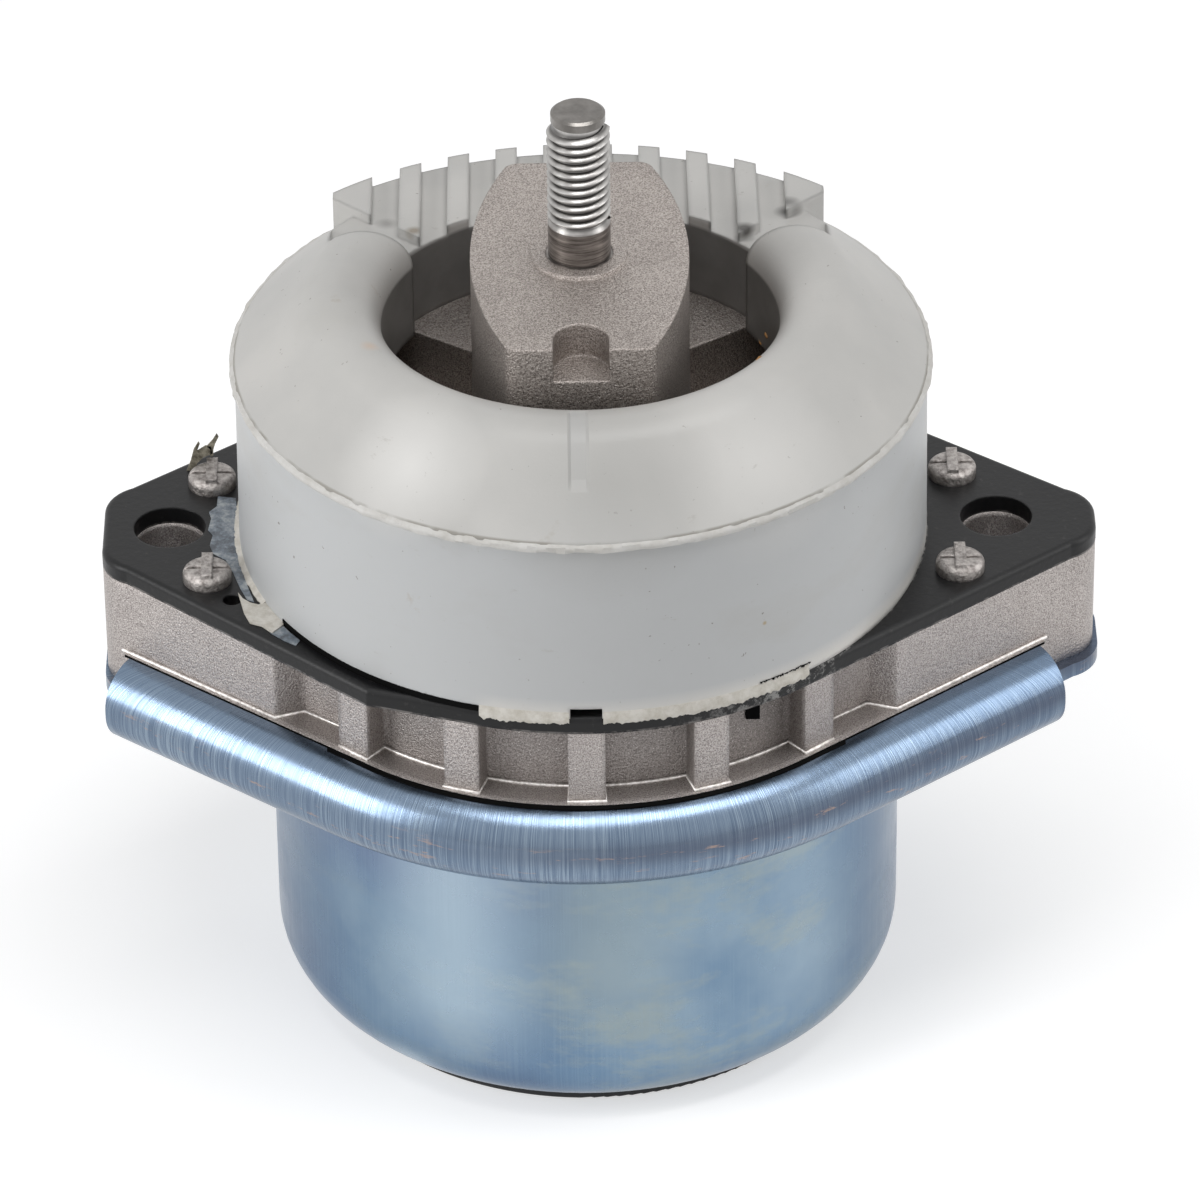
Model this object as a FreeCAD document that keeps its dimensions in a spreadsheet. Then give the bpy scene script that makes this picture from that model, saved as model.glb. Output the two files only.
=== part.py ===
import FreeCAD, Part
import Sketcher
import math
import os

# Hydraulic engine mount. Millimetres, +Z up, origin on the stud axis at the underside of the base pad.
# The two bolt ears lie along X, the notched face of the core looks towards -Y.

SIZES = {
    # base pad and pressed steel cup
    "pad_radius": 43.5,
    "pad_thick": 2.5,
    "pad_edge": 0.6,
    "cup_radius": 51.15,
    "cup_wall": 2.5,
    "cup_height": 64.7,
    "cup_corner": 9.2,
    # rolled edge of the cup's flange
    "bead_top_round": 6.8,
    "bead_flat": 1.2,
    "bead_low_round": 6.0,
    "bead_curl": 1.6,
    "bead_run": 46.3,
    "flange_flare": 1.0,
    "flange_inset": 0.2,
    "flange_corner": 1.0,
    "flange_tip": 0.2,
    "ear_drop": 6.1,
    "ear_rim": 2.0,
    "ear_right_rim": 0.7,
    "ear_left_rim": 0.3,
    # outline shared by the casting, the flange and the cover plate
    "flange_width": 3.45,
    "ear_slope": 38.5,
    "ear_hole_x": 66.5,
    "ear_bore": 5.6,
    "right_tip": 16.0,
    "left_tip": 10.7,
    "end_round": 5.5,
    "end_blunt": 1.3,
    # casting
    "housing_height": 13.5,
    "panel_depth": 4.3,
    "rib_width": 5.8,
    "rib_pitch": 21.1,
    "ear_block_x": 49.3,
    "ear_block_flank": 4.7,
    "bore_wall": 4.3,
    "bore_taper": 4.0,
    # cover plate with its drawn cap
    "cover_thick": 3.0,
    "cover_overhang": 0.5,
    "cover_left_slope": 42.0,
    "cover_left_step": 3.0,
    "cover_edge": 1.0,
    "cap_land": 2.0,
    "cap_wall": 2.5,
    "cap_height": 31.5,
    "cap_corner": 9.0,
    "cover_hole": 5.8,
    "small_hole_x": 55.9,
    "small_hole_y": 21.0,
    "small_hole_radius": 1.5,
    # rivets that hold the plate on the casting
    "rivet_step": 6.5,
    "rivet_rear_y": 12.5,
    "rivet_front_y": 15.1,
    "rivet_shank": 2.6,
    "rivet_depth": 8.0,
    "rivet_head": 3.9,
    "rivet_rise": 2.3,
    "rivet_edge": 1.1,
    "rivet_bar": 1.8,
    "rivet_bar_rise": 0.7,
    "rivet_bar_inset": 0.6,
    "rivet_slot": 0.7,
    "rivet_slot_depth": 0.6,
    # silicone ring
    "band_wall": 4.8,
    "band_draft": 0.3,
    "band_height": 31.4,
    "skirt_step": 0.1,
    "skirt_height": 32.2,
    "shoulder_height": 43.3,
    "lip_round": 7.0,
    "lip_top": 45.0,
    "lip_inner": 31.6,
    "lip_back": 4.6,
    "lip_cover": 4.4,
    "cushion_level": 25.2,
    "vent_width": 5.0,
    "vent_height": 1.8,
    "vent_depth": 5.0,
    # ribbed stop on the rear of the silicone ring
    "stop_half": 39.8,
    "stop_front": 17.0,
    "stop_floor": 38.4,
    "stop_slope": 5.0,
    "stop_overhang": 0.5,
    "stop_gap": 2.4,
    "stop_bevel_width": 12.3,
    "stop_bevel_rise": 4.5,
    "stop_end_wall": 2.0,
    "stop_root": 1.0,
    "stop_gap_level": 35.4,
    "stop_rib_rise": 1.8,
    "stop_rib_width": 3.5,
    "stop_rib_pitch": 7.8,
    "stop_rib_pairs": 4,
    "stop_end_width": 6.3,
    # core
    "core_top": 50.5,
    "core_half": 17.3,
    "core_side_round": 67.5,
    "core_depth": 28.0,
    "core_corner": 11.2,
    "core_edge_round": 2.6,
    "disc_level": 25.2,
    "disc_radius": 41.5,
    "disc_thick": 6.0,
    "core_waist": 38.0,
    "core_waist_level": 12.0,
    "core_tip": 12.0,
    "core_tip_level": 18.0,
    "pocket_depth": 9.0,
    "pocket_inner": 21.0,
    "pocket_outer": 37.5,
    "pocket_angle": 34.0,
    "notch_width": 8.8,
    "notch_back": 20.5,
    "notch_back_level": 46.8,
    "notch_front_level": 44.7,
    "collar_radius": 7.6,
    "collar_rise": 0.5,
    # stud
    "stud_radius": 5.0,
    "press_radius": 5.3,
    "stud_press": 24.0,
    "shank_length": 6.5,
    "thread_length": 18.0,
    "tip_neck": 3.6,
    "tip_radius": 3.82,
    "tip_length": 1.9,
    "tip_bevel": 0.4,
    "thread_bevel": 1.2,
    # rubber spring
    "spring_arch": 30.0,
    "spring_arch_level": 5.0,
    "spring_skin": 1.5,
    "spring_root": 1.5,
    "spring_top_width": 3.0,
    "spring_top_rise": 0.5,
    # parts stacked inside the cup
    "cup_clearance": 0.25,
    "ring_height": 5.5,
    "ring_inner": 40.0,
    "grid_thick": 1.5,
    "grid_hole": 2.4,
    "grid_circle": 15.0,
    "channel_height": 9.0,
    "channel_depth": 7.0,
    "channel_width": 6.0,
    "bridge_width": 4.0,
    "bridge_root": 1.0,
    "bridge_gap": 0.2,
    "membrane_radius": 26.0,
    "membrane_thick": 3.0,
    "window_radius": 22.0,
    "bellows_rim": 3.0,
    "bellows_wall": 2.0,
    "bellows_outer": 39.0,
    "bellows_drop": 24.0,
    "bellows_inner": 20.0,
    "clamp_height": 4.0,
    "clamp_width": 5.0,
    "sleeve_wall": 2.4,
}


class Size:
    """A named size or a sum of named sizes: its number and the text that the document binds."""

    def __init__(self, value, text):
        self.value = value
        self.text = text

    def __add__(self, other):
        other = as_size(other)
        return Size(self.value + other.value, f"({self.text} + {other.text})")

    def __sub__(self, other):
        other = as_size(other)
        return Size(self.value - other.value, f"({self.text} - {other.text})")

    def __mul__(self, other):
        other = as_size(other)
        return Size(self.value * other.value, f"({self.text} * {other.text})")

    def __truediv__(self, other):
        other = as_size(other)
        return Size(self.value / other.value, f"({self.text} / {other.text})")

    def __neg__(self):
        return Size(-self.value, f"(0 - {self.text})")


def as_size(item):
    return item if isinstance(item, Size) else Size(float(item), f"{float(item):.6f}")


def size(alias):
    return Size(SIZES[alias], f"Sizes.{alias}")


def sin_of(angle):
    return Size(math.sin(math.radians(angle.value)), f"sin({angle.text})")


def cos_of(angle):
    return Size(math.cos(math.radians(angle.value)), f"cos({angle.text})")


def root_of(item):
    return Size(math.sqrt(item.value), f"sqrt({item.text})")


doc = FreeCAD.newDocument("engine_mount")
sheet = doc.addObject("Spreadsheet::Sheet", "Sizes")
for row, (alias, number) in enumerate(SIZES.items(), start=1):
    sheet.set(f"A{row}", alias.replace("_", " "))
    sheet.set(f"B{row}", str(number))
    sheet.setAlias(f"B{row}", alias)
doc.recompute()

nodes = []
zero = as_size(0)


def new_body(label, level):
    body = doc.addObject("PartDesign::Body", label)
    body.Label = label
    body.setExpression("Placement.Base.z", level.text)
    nodes.append(body)
    return body


def new_sketch(body, name, plane, offset=None):
    sketch = body.newObject("Sketcher::SketchObject", f"{body.Label}_{name}")
    support = [item for item in body.Origin.OriginFeatures if item.Role == plane][0]
    sketch.AttachmentSupport = (support, [""])
    sketch.MapMode = "FlatFace"
    if offset is not None:
        sketch.setExpression("AttachmentOffset.Base.z", offset.text)
    return sketch


def bind(sketch, kind, *items):
    """Adds one dimension to a sketch and ties it to the sheet."""
    amount = items[-1]
    index = sketch.addConstraint(Sketcher.Constraint(kind, *items[:-1], amount.value))
    sketch.setExpression(f"Constraints[{index}]", amount.text)


def pin_point(sketch, edge, end, x, y):
    bind(sketch, "DistanceX", -1, 1, edge, end, x)
    bind(sketch, "DistanceY", -1, 1, edge, end, y)


def arc_between(start, finish, radius, side):
    """Minor arc from start to finish; side +1 keeps its centre left of the chord, -1 right of it."""
    middle = ((start[0] + finish[0]) / 2, (start[1] + finish[1]) / 2)
    chord = (finish[0] - start[0], finish[1] - start[1])
    length = math.hypot(*chord)
    rise = math.sqrt(max(radius * radius - length * length / 4, 0.0))
    centre = FreeCAD.Vector(
        middle[0] - side * chord[1] / length * rise,
        middle[1] + side * chord[0] / length * rise,
        0,
    )
    angles = [math.atan2(p[1] - centre.y, p[0] - centre.x) for p in (start, finish)]
    circle = Part.Circle(centre, FreeCAD.Vector(0, 0, 1), radius)
    return Part.ArcOfCircle(circle, *(angles if side > 0 else angles[::-1]))


def profile(body, name, plane, points, offset=None):
    """Closed outline. A point is (x, y), or (x, y, radius, side) where an arc leads to it."""
    sketch = new_sketch(body, name, plane, offset)
    ends = []
    for index, point in enumerate(points):
        before = points[index - 1]
        start = (before[0].value, before[1].value)
        finish = (point[0].value, point[1].value)
        if len(point) == 2:
            line = Part.LineSegment(FreeCAD.Vector(*start, 0), FreeCAD.Vector(*finish, 0))
            sketch.addGeometry(line, False)
            ends.append((1, 2))
        else:
            sketch.addGeometry(arc_between(start, finish, point[2].value, point[3]), False)
            ends.append((1, 2) if point[3] > 0 else (2, 1))
    count = len(points)
    for index in range(count):
        after = (index + 1) % count
        sketch.addConstraint(
            Sketcher.Constraint("Coincident", index, ends[index][1], after, ends[after][0])
        )
    for index, point in enumerate(points):
        pin_point(sketch, index, ends[index][1], point[0], point[1])
        if len(point) > 2:
            bind(sketch, "Radius", index, point[2])
    return sketch


def circles(body, name, plane, rounds, offset=None):
    """Sketch of full circles; a round is (x, y, radius)."""
    sketch = new_sketch(body, name, plane, offset)
    for index, (x, y, radius) in enumerate(rounds):
        centre = FreeCAD.Vector(x.value, y.value, 0)
        sketch.addGeometry(Part.Circle(centre, FreeCAD.Vector(0, 0, 1), radius.value), False)
        pin_point(sketch, index, 3, x, y)
        bind(sketch, "Radius", index, radius)
    return sketch


def box_points(left, right, low, high):
    return [(left, low), (right, low), (right, high), (left, high)]


def add_feature(body, kind, sketch):
    feature = body.newObject(f"PartDesign::{kind}", f"{sketch.Label}_{kind}")
    feature.Profile = sketch
    sketch.Visibility = False
    return feature


def revolve(body, sketch, kind="Revolution"):
    feature = add_feature(body, kind, sketch)
    feature.ReferenceAxis = (sketch, ["V_Axis"])
    feature.Angle = 360
    return feature


def pad(body, sketch, length, kind="Pad", reversed_way=False, midplane=False):
    feature = add_feature(body, kind, sketch)
    feature.setExpression("Length", length.text)
    feature.Reversed = reversed_way
    feature.Midplane = midplane
    return feature


def mirror(body, features, planes):
    """Mirrors features about origin planes in turn, given by their role names."""
    last = features
    for plane in planes:
        copy = body.newObject("PartDesign::Mirrored", f"{body.Label}_mirror_{plane}")
        copy.Originals = last
        support = [item for item in body.Origin.OriginFeatures if item.Role == plane][0]
        copy.MirrorPlane = (support, [""])
        body.Tip = copy
    return copy


def double_mirror(body, feature):
    """Copies one feature to the other three quarters."""
    several = body.newObject("PartDesign::MultiTransform", f"{feature.Label}_quarters")
    several.Originals = [feature]
    steps = []
    for plane in ("YZ_Plane", "XZ_Plane"):
        step = body.newObject("PartDesign::Mirrored", f"{feature.Label}_{plane}")
        support = [item for item in body.Origin.OriginFeatures if item.Role == plane][0]
        step.MirrorPlane = (support, [""])
        steps.append(step)
    several.Transformations = steps
    body.Tip = several
    return several


def edges_at(shape, test):
    """Names of the edges whose middle point passes the test."""
    found = []
    for index, edge in enumerate(shape.Edges, start=1):
        middle = edge.valueAt((edge.FirstParameter + edge.LastParameter) / 2)
        if test(middle, edge):
            found.append(f"Edge{index}")
    return found


def round_edges(body, amount, test, kind="Fillet"):
    doc.recompute()
    base = body.Tip
    names = edges_at(base.Shape, test)
    feature = body.newObject(f"PartDesign::{kind}", f"{body.Label}_{kind}")
    feature.Base = (base, names)
    feature.setExpression("Radius" if kind == "Fillet" else "Size", amount.text)
    return feature


# Levels of the stack, from the ground up.
cup_floor = size("pad_thick")
flange_top = cup_floor + size("cup_height")
cover_level = flange_top + size("housing_height")
cover_top = cover_level + size("cover_thick")
outline = size("cup_radius") + size("flange_width")
chamber_radius = size("cup_radius") - size("cup_wall") - size("cup_clearance")
ring_low = flange_top - size("ring_height")
upper_grid_low = ring_low - size("grid_thick")
channel_low = upper_grid_low - size("channel_height")
lower_grid_low = channel_low - size("grid_thick")
bellows_low = lower_grid_low - size("bellows_rim")
clamp_low = bellows_low - size("clamp_height")


def ear_line(reach, slope, x):
    """Half width of the outline at x on the straight run of an ear."""
    return (reach - x * sin_of(slope)) / cos_of(slope)


def flare_shift(flare, slope):
    """How far behind the axis the middle arc has its centre when the runs are flared."""
    return flare / (as_size(1) - cos_of(slope))


def ear_outline(radius, slope, left_reach, left_slope, right_end, left_end, edge, flare=None):
    """Round middle with straight runs that narrow to two blunt rounded ears.

    A flare moves the runs outwards and flattens the round middle to suit.
    """
    if flare is None:
        right_x, right_y = radius * sin_of(slope), radius * cos_of(slope)
    else:
        middle = radius + flare_shift(flare, slope)
        right_x = middle * sin_of(slope)
        right_y = middle * cos_of(slope) - flare_shift(flare, slope)
        radius = radius + flare
        left_reach = radius
    left_x, left_y = right_x, right_y
    if left_slope is not slope:
        left_x = radius * sin_of(left_slope / 2)
        left_y = radius * cos_of(left_slope / 2)
    right_tip = ear_line(radius, slope, right_end)
    right_in = right_end - edge * cos_of(slope)
    right_in_y = ear_line(radius, slope, right_in)
    left_tip = ear_line(left_reach, left_slope, left_end)
    left_in = left_end - edge * cos_of(left_slope)
    left_in_y = ear_line(left_reach, left_slope, left_in)
    rear_left_tip = ear_line(radius, slope, left_end)
    rear_left_in_y = ear_line(radius, slope, left_in)
    tip_drop = edge * sin_of(slope)
    round_middle = radius if flare is None else middle
    blunt = edge * size("end_blunt")
    points = [
        (right_x, -right_y, round_middle, 1),
        (right_in, -right_in_y),
        (right_end, -(right_tip - tip_drop), blunt, 1),
        (right_end, right_tip - tip_drop),
        (right_in, right_in_y, blunt, 1),
        (right_x, right_y),
        (-right_x, right_y, round_middle, 1),
        (-left_in, rear_left_in_y),
        (-left_end, rear_left_tip - tip_drop, blunt, 1),
        (-left_end, -(left_tip - tip_drop)),
        (-left_in, -left_in_y, blunt, 1),
    ]
    if left_slope is not slope:
        shoulder_x = radius * sin_of(slope)
        points.append((-shoulder_x, -ear_line(left_reach, left_slope, shoulder_x)))
    points.append((-left_x, -left_y))
    return points


slope = size("ear_slope")
ear_x = size("ear_hole_x")
right_end = ear_x + size("right_tip")
left_end = ear_x + size("left_tip")
end_round = size("end_round")
foot_x = left_end - end_round * cos_of(slope)


def foot_radius(reach):
    """Radius about a bolt hole that meets the ear's straight run at the start of the foot."""
    step = foot_x - ear_x
    half_width = ear_line(reach, slope, foot_x)
    return root_of(step * step + half_width * half_width)


def foot_outline(side, reach, end):
    """Ear tip beyond the foot line, closed by a round about the bolt hole."""
    tip_in = end - end_round * cos_of(slope)
    tip_y = ear_line(reach, slope, end) - end_round * sin_of(slope)
    blunt = end_round * size("end_blunt")
    bend = foot_radius(reach)
    half_width = ear_line(reach, slope, foot_x)
    points = [(foot_x, -half_width, bend, 1)]
    if tip_in.value > foot_x.value + 0.01:
        points.append((tip_in, -ear_line(reach, slope, tip_in)))
    points.append((end, -tip_y, blunt, 1))
    points.append((end, tip_y))
    if tip_in.value > foot_x.value + 0.01:
        points.append((tip_in, ear_line(reach, slope, tip_in), blunt, 1))
        points.append((foot_x, half_width))
    else:
        points.append((foot_x, half_width, blunt, 1))
    points.append((ear_x - bend, zero, bend, 1))
    if side > 0:
        return points
    flipped = []
    for index, point in enumerate(points):
        arc = points[index + 1 - len(points)][2:]
        flipped.append((-point[0], point[1]) + arc)
    return flipped[::-1]

# Base pad: rubber disc bonded under the cup.
body = new_body("base_pad", zero)
pad(body, circles(body, "disc", "XY_Plane", [(zero, zero, size("pad_radius"))]), size("pad_thick"))
round_edges(body, size("pad_edge"), lambda p, e: p.z < 0.1)

# Lower cup: pressed steel pot, flat flange, rolled edge at front and rear, stepped ear pads.
body = new_body("lower_cup", cup_floor)
radius = size("cup_radius")
wall = size("cup_wall")
corner = size("cup_corner")
height = size("cup_height")
inner_radius = radius - wall
inner_corner = corner - wall
pot = profile(body, "pot", "XZ_Plane", [
    (zero, zero),
    (radius - corner, zero),
    (radius, corner, corner, 1),
    (radius, height),
    (inner_radius, height),
    (inner_radius, corner),
    (inner_radius - inner_corner, wall, inner_corner, -1),
    (zero, wall),
])
revolve(body, pot)
flange_radius = outline - size("flange_inset")
flare = size("flange_flare")
shift = flare_shift(flare, slope)
middle = flange_radius + shift
path_x = middle * sin_of(slope)
path_y = middle * cos_of(slope) - shift
run = size("bead_run")
path_end_x = path_x + run * cos_of(slope)
path_end_y = path_y - run * sin_of(slope)
flange_end = path_end_x + size("flange_tip")
flange = profile(
    body, "flange", "XY_Plane",
    ear_outline(flange_radius, slope, flange_radius, slope, flange_end, flange_end,
                size("flange_corner"), flare),
    height - wall,
)
pad(body, flange, wall)
mouth = circles(body, "mouth", "XY_Plane", [(zero, zero, inner_radius)], height - wall)
pad(body, mouth, wall, "Pocket", reversed_way=True)

# Ear pads of the flange, pressed down under the feet of the casting.
drop = size("ear_drop")
pad_reach = outline + size("ear_rim")
ear_ends = (
    ("right", 1, right_end, size("ear_right_rim")),
    ("left", -1, left_end, size("ear_left_rim")),
)
for name, side, end, rim in ear_ends:
    block = profile(body, f"ear_{name}", "XY_Plane", foot_outline(side, pad_reach, end + rim),
                    height - drop - wall)
    pad(body, block, drop)
    well = profile(body, f"well_{name}", "XY_Plane", foot_outline(side, outline, end), height - drop)
    pad(body, well, drop, "Pocket", reversed_way=True)
    start, finish = flange_end * side, (end + rim * 2) * side
    if side < 0:
        start, finish = finish, start
    tip_room = profile(body, f"tip_{name}", "XY_Plane", box_points(start, finish, -radius, radius),
                       height - drop)
    pad(body, tip_room, drop, "Pocket", reversed_way=True)

# Rolled edge: half of the path runs from the middle of the front to the right.
path = new_sketch(body, "bead_path", "XY_Plane", height)
path.addGeometry(
    arc_between((0, -flange_radius.value), (path_x.value, -path_y.value), middle.value, 1),
    False,
)
path.addGeometry(Part.LineSegment(
    FreeCAD.Vector(path_x.value, -path_y.value, 0),
    FreeCAD.Vector(path_end_x.value, -path_end_y.value, 0),
), False)
path.addConstraint(Sketcher.Constraint("Coincident", 0, 2, 1, 1))
pin_point(path, 0, 1, zero, -flange_radius)
pin_point(path, 0, 2, path_x, -path_y)
bind(path, "Radius", 0, middle)
pin_point(path, 1, 2, path_end_x, -path_end_y)
top_round = size("bead_top_round")
low_round = size("bead_low_round")
bead_flat = size("bead_flat")
curl = size("bead_curl")
face = flange_radius + top_round
section_inner = face - wall
bottom = height - top_round - bead_flat - low_round
bead_section = profile(body, "bead", "YZ_Plane", [
    (-flange_radius, height),
    (-face, height - top_round, top_round, 1),
    (-face, bottom + low_round),
    (-(face - low_round), bottom, low_round, 1),
    (-(face - low_round - curl), bottom),
    (-(face - low_round - curl), bottom + wall),
    (-(face - low_round), bottom + wall),
    (-section_inner, bottom + low_round, low_round - wall, -1),
    (-section_inner, height - top_round),
    (-flange_radius, height - wall, top_round - wall, -1),
])
bead = body.newObject("PartDesign::AdditivePipe", "lower_cup_bead_pipe")
bead.Profile = bead_section
bead.Spine = (path, ["Edge1", "Edge2"])
bead.Mode = "Frenet"
doc.recompute()
double_mirror(body, bead)

ear_spots = [(ear_x, zero), (-ear_x, zero)]
bolt_holes = circles(body, "bolt_holes", "XY_Plane",
                     [spot + (size("ear_bore"),) for spot in ear_spots], height - drop - wall)
pad(body, bolt_holes, drop + wall, "Pocket", reversed_way=True)

# Housing: aluminium casting with ribbed flanks, conical bore and bolt ears.
body = new_body("housing", flange_top)
height = size("housing_height")
plan = profile(body, "plan", "XY_Plane",
               ear_outline(outline, slope, outline, slope, right_end, left_end, end_round))
pad(body, plan, height)
for name, side, end, rim in ear_ends:
    foot = profile(body, f"foot_{name}", "XY_Plane", foot_outline(side, outline, end), -drop)
    pad(body, foot, drop + height)
panel = outline - size("panel_depth")
bore_top = panel - size("bore_wall")
bore_low = bore_top - size("bore_taper")
cone = profile(body, "bore", "XZ_Plane", [
    (zero, zero), (bore_low, zero), (bore_top, height), (zero, height),
])
revolve(body, cone, "Groove")

# Recessed panels between the ribs; one panel is copied round the front and the rear.
pitch = size("rib_pitch")
beyond = outline + size("panel_depth")
edge_turn = size("rib_width") / (outline * 2) * as_size(math.degrees(1))


def panel_outline(start, finish):
    points = []
    for reach, turn in ((panel, start), (beyond, start), (beyond, finish), (panel, finish)):
        points.append((reach * sin_of(turn), -reach * cos_of(turn)))
    points[0] = points[0] + (panel, -1)
    return points


for number, start in enumerate((-2, -1, 0, 1)):
    first = pitch * start + edge_turn
    last = pitch * (start + 1) - edge_turn
    sketch = profile(body, f"panel_{number}", "XY_Plane", panel_outline(first, last))
    cut = pad(body, sketch, height, "Pocket", reversed_way=True)
    mirror(body, [cut], ["XZ_Plane"])

# The outermost panels follow the straight runs and end in a slanted flank at the ears.
first = pitch * 2 + edge_turn
block_x = size("ear_block_x")
flank_x = block_x - size("ear_block_flank")
meet = panel / cos_of(first - slope)
sketch = profile(body, "panel_side", "XY_Plane", [
    (meet * sin_of(first), -meet * cos_of(first)),
    (beyond * sin_of(first), -beyond * cos_of(first)),
    (block_x, -ear_line(beyond, slope, block_x)),
    (block_x, -ear_line(outline, slope, block_x)),
    (flank_x, -ear_line(panel, slope, flank_x)),
])
cut = pad(body, sketch, height, "Pocket", reversed_way=True)
double_mirror(body, cut)
pad(body, circles(body, "bolt_bores", "XY_Plane",
                  [spot + (size("ear_bore"),) for spot in ear_spots], -drop),
    drop + height, "Pocket", reversed_way=True)
rivet_spots = []
for sign_x in (-1, 1):
    for y in (size("rivet_rear_y"), -size("rivet_front_y")):
        rivet_spots.append(((ear_x - size("rivet_step")) * sign_x, y))
shank_rounds = [spot + (size("rivet_shank"),) for spot in rivet_spots]
rivet_depth = size("rivet_depth")
pad(body, circles(body, "rivet_bores", "XY_Plane", shank_rounds, height), rivet_depth, "Pocket")

# Cover plate: black pressed plate whose drawn cap stands inside the silicone ring.
body = new_body("cover_plate", cover_level)
thick = size("cover_thick")
cover_radius = outline + size("cover_overhang")
plan = profile(body, "plan", "XY_Plane", ear_outline(
    cover_radius, slope, outline + size("cover_left_step"), size("cover_left_slope"),
    right_end, left_end, end_round))
pad(body, plan, thick)
top_edge = size("cover_edge")
round_edges(body, top_edge, lambda p, e: abs(p.z - thick.value) < 0.01)
cap_wall = size("cap_wall")
cap_bore = bore_top + size("cap_land")
cap_radius = cap_bore + cap_wall
cap_corner = size("cap_corner")
cap_top = thick + size("cap_height")
cap_hole = size("lip_inner") + size("lip_cover")
cap = profile(body, "cap", "XZ_Plane", [
    (cap_bore, zero),
    (cap_radius, zero),
    (cap_radius, cap_top - cap_corner),
    (cap_radius - cap_corner, cap_top, cap_corner, 1),
    (cap_hole, cap_top),
    (cap_hole, cap_top - cap_wall),
    (cap_radius - cap_corner, cap_top - cap_wall),
    (cap_bore, cap_top - cap_corner, cap_corner - cap_wall, -1),
])
revolve(body, cap)
pad(body, circles(body, "opening", "XY_Plane", [(zero, zero, cap_bore)]), thick,
    "Pocket", reversed_way=True)
small_holes = [spot + (size("cover_hole"),) for spot in ear_spots]
small_holes.append((-size("small_hole_x"), -size("small_hole_y"), size("small_hole_radius")))
pad(body, circles(body, "holes", "XY_Plane", small_holes + shank_rounds), thick,
    "Pocket", reversed_way=True)

# Rivets: round heads with a raised bar, shanks set into the casting.
places = ("left_rear", "left_front", "right_rear", "right_front")
head = size("rivet_head")
rise = size("rivet_rise")
for place, spot in zip(places, rivet_spots):
    body = new_body(f"cover_rivet_{place}", cover_top)
    body.setExpression("Placement.Base.x", spot[0].text)
    body.setExpression("Placement.Base.y", spot[1].text)
    shank = size("rivet_shank")
    low = -(size("cover_thick") + rivet_depth)
    edge = size("rivet_edge")
    outline_points = [
        (zero, low), (shank, low), (shank, zero), (head, zero), (head, rise - edge),
        (head - edge, rise, edge, 1), (zero, rise),
    ]
    revolve(body, profile(body, "section", "XZ_Plane", outline_points))
    bar = size("rivet_bar") / 2
    reach = head - size("rivet_bar_inset")
    bar_top = rise + size("rivet_bar_rise")
    pad(body, profile(body, "bar", "XY_Plane", box_points(-bar, bar, -reach, reach)), bar_top)
    slot_half = size("rivet_slot") / 2
    slot_floor = rise - size("rivet_slot_depth")
    for name, start in (("left", -head), ("right", bar)):
        cross = profile(body, f"slot_{name}", "XY_Plane", box_points(
            start, start + head - bar, -slot_half, slot_half), slot_floor)
        pad(body, cross, bar_top - slot_floor, "Pocket", reversed_way=True)

# Silicone ring: band, shoulder, lip, inner cushion and the ribbed stop at the rear.
body = new_body("silicone_buffer", cover_top)
cap_level = size("cap_height")
lip_round = size("lip_round")
lip_centre = size("lip_inner") + lip_round
lip_top = size("lip_top")
lip_level = lip_top - lip_round
cushion = size("cushion_level")
shoulder_r = lip_centre + size("lip_back")
shoulder_z = size("shoulder_height")
band_foot = cap_radius + size("band_wall")
skirt_r = band_foot + size("skirt_step")
skirt_z = size("skirt_height")
under_cap = cap_level - cap_wall
section = profile(body, "section", "XZ_Plane", [
    (cap_radius, zero),
    (band_foot, zero),
    (band_foot - size("band_draft"), size("band_height")),
    (skirt_r, skirt_z),
    (shoulder_r, shoulder_z),
    (lip_centre, lip_top, lip_round, 1),
    (size("lip_inner"), lip_level, lip_round, 1),
    (size("lip_inner"), cushion),
    (cap_radius - cap_corner, cushion),
    (cap_radius - cap_corner, under_cap),
    (cap_hole, under_cap),
    (cap_hole, cap_level),
    (cap_radius - cap_corner, cap_level),
    (cap_radius, cap_level - cap_corner, cap_corner, -1),
])
revolve(body, section)
half = size("stop_half")
front = size("stop_front")
back = band_foot + size("stop_overhang")
stop_floor = size("stop_floor")
ceiling = lip_top + lip_round
recess = profile(body, "recess", "XY_Plane", box_points(-half, half, front, back), stop_floor)
pad(body, recess, ceiling - stop_floor, "Pocket", reversed_way=True)
inner = size("lip_inner") + size("stop_gap")
back_y = root_of(back * back - half * half)
meet_x = half - size("stop_bevel_width")
meet_y = root_of(inner * inner - meet_x * meet_x)
gap_level = size("stop_gap_level")
base_level = cap_level + size("stop_root")
end_wall = back_y - size("stop_end_wall")
bevel_y = meet_y + size("stop_bevel_rise")
bevel_slope = (end_wall - bevel_y) / (half - meet_x)
stop_plan = [
    (half, end_wall),
    (half, back_y),
    (-half, back_y, back, 1),
    (-half, end_wall),
    (-meet_x, bevel_y),
    (-meet_x, meet_y),
    (meet_x, meet_y, inner, -1),
    (meet_x, bevel_y),
]
block = profile(body, "stop", "XY_Plane", stop_plan, base_level)
pad(body, block, ceiling - base_level)
tilt = size("stop_slope")
rib_rise = size("stop_rib_rise")
beyond_back = back + size("stop_root")
front_rise = (beyond_back - front) * sin_of(tilt) / cos_of(tilt)


def trim_above(name, level):
    """Cuts everything over the sloping top of the stop."""
    cutter = profile(body, name, "YZ_Plane", [
        (front, level + front_rise), (beyond_back, level), (beyond_back, ceiling + rib_rise),
        (front, ceiling + rib_rise),
    ])
    return pad(body, cutter, half * 2, "Pocket", midplane=True)


trim_above("gap_trim", gap_level)
rib_width = size("stop_rib_width") / 2
rib_pitch = size("stop_rib_pitch")
rib_level = gap_level - size("stop_root")


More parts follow.
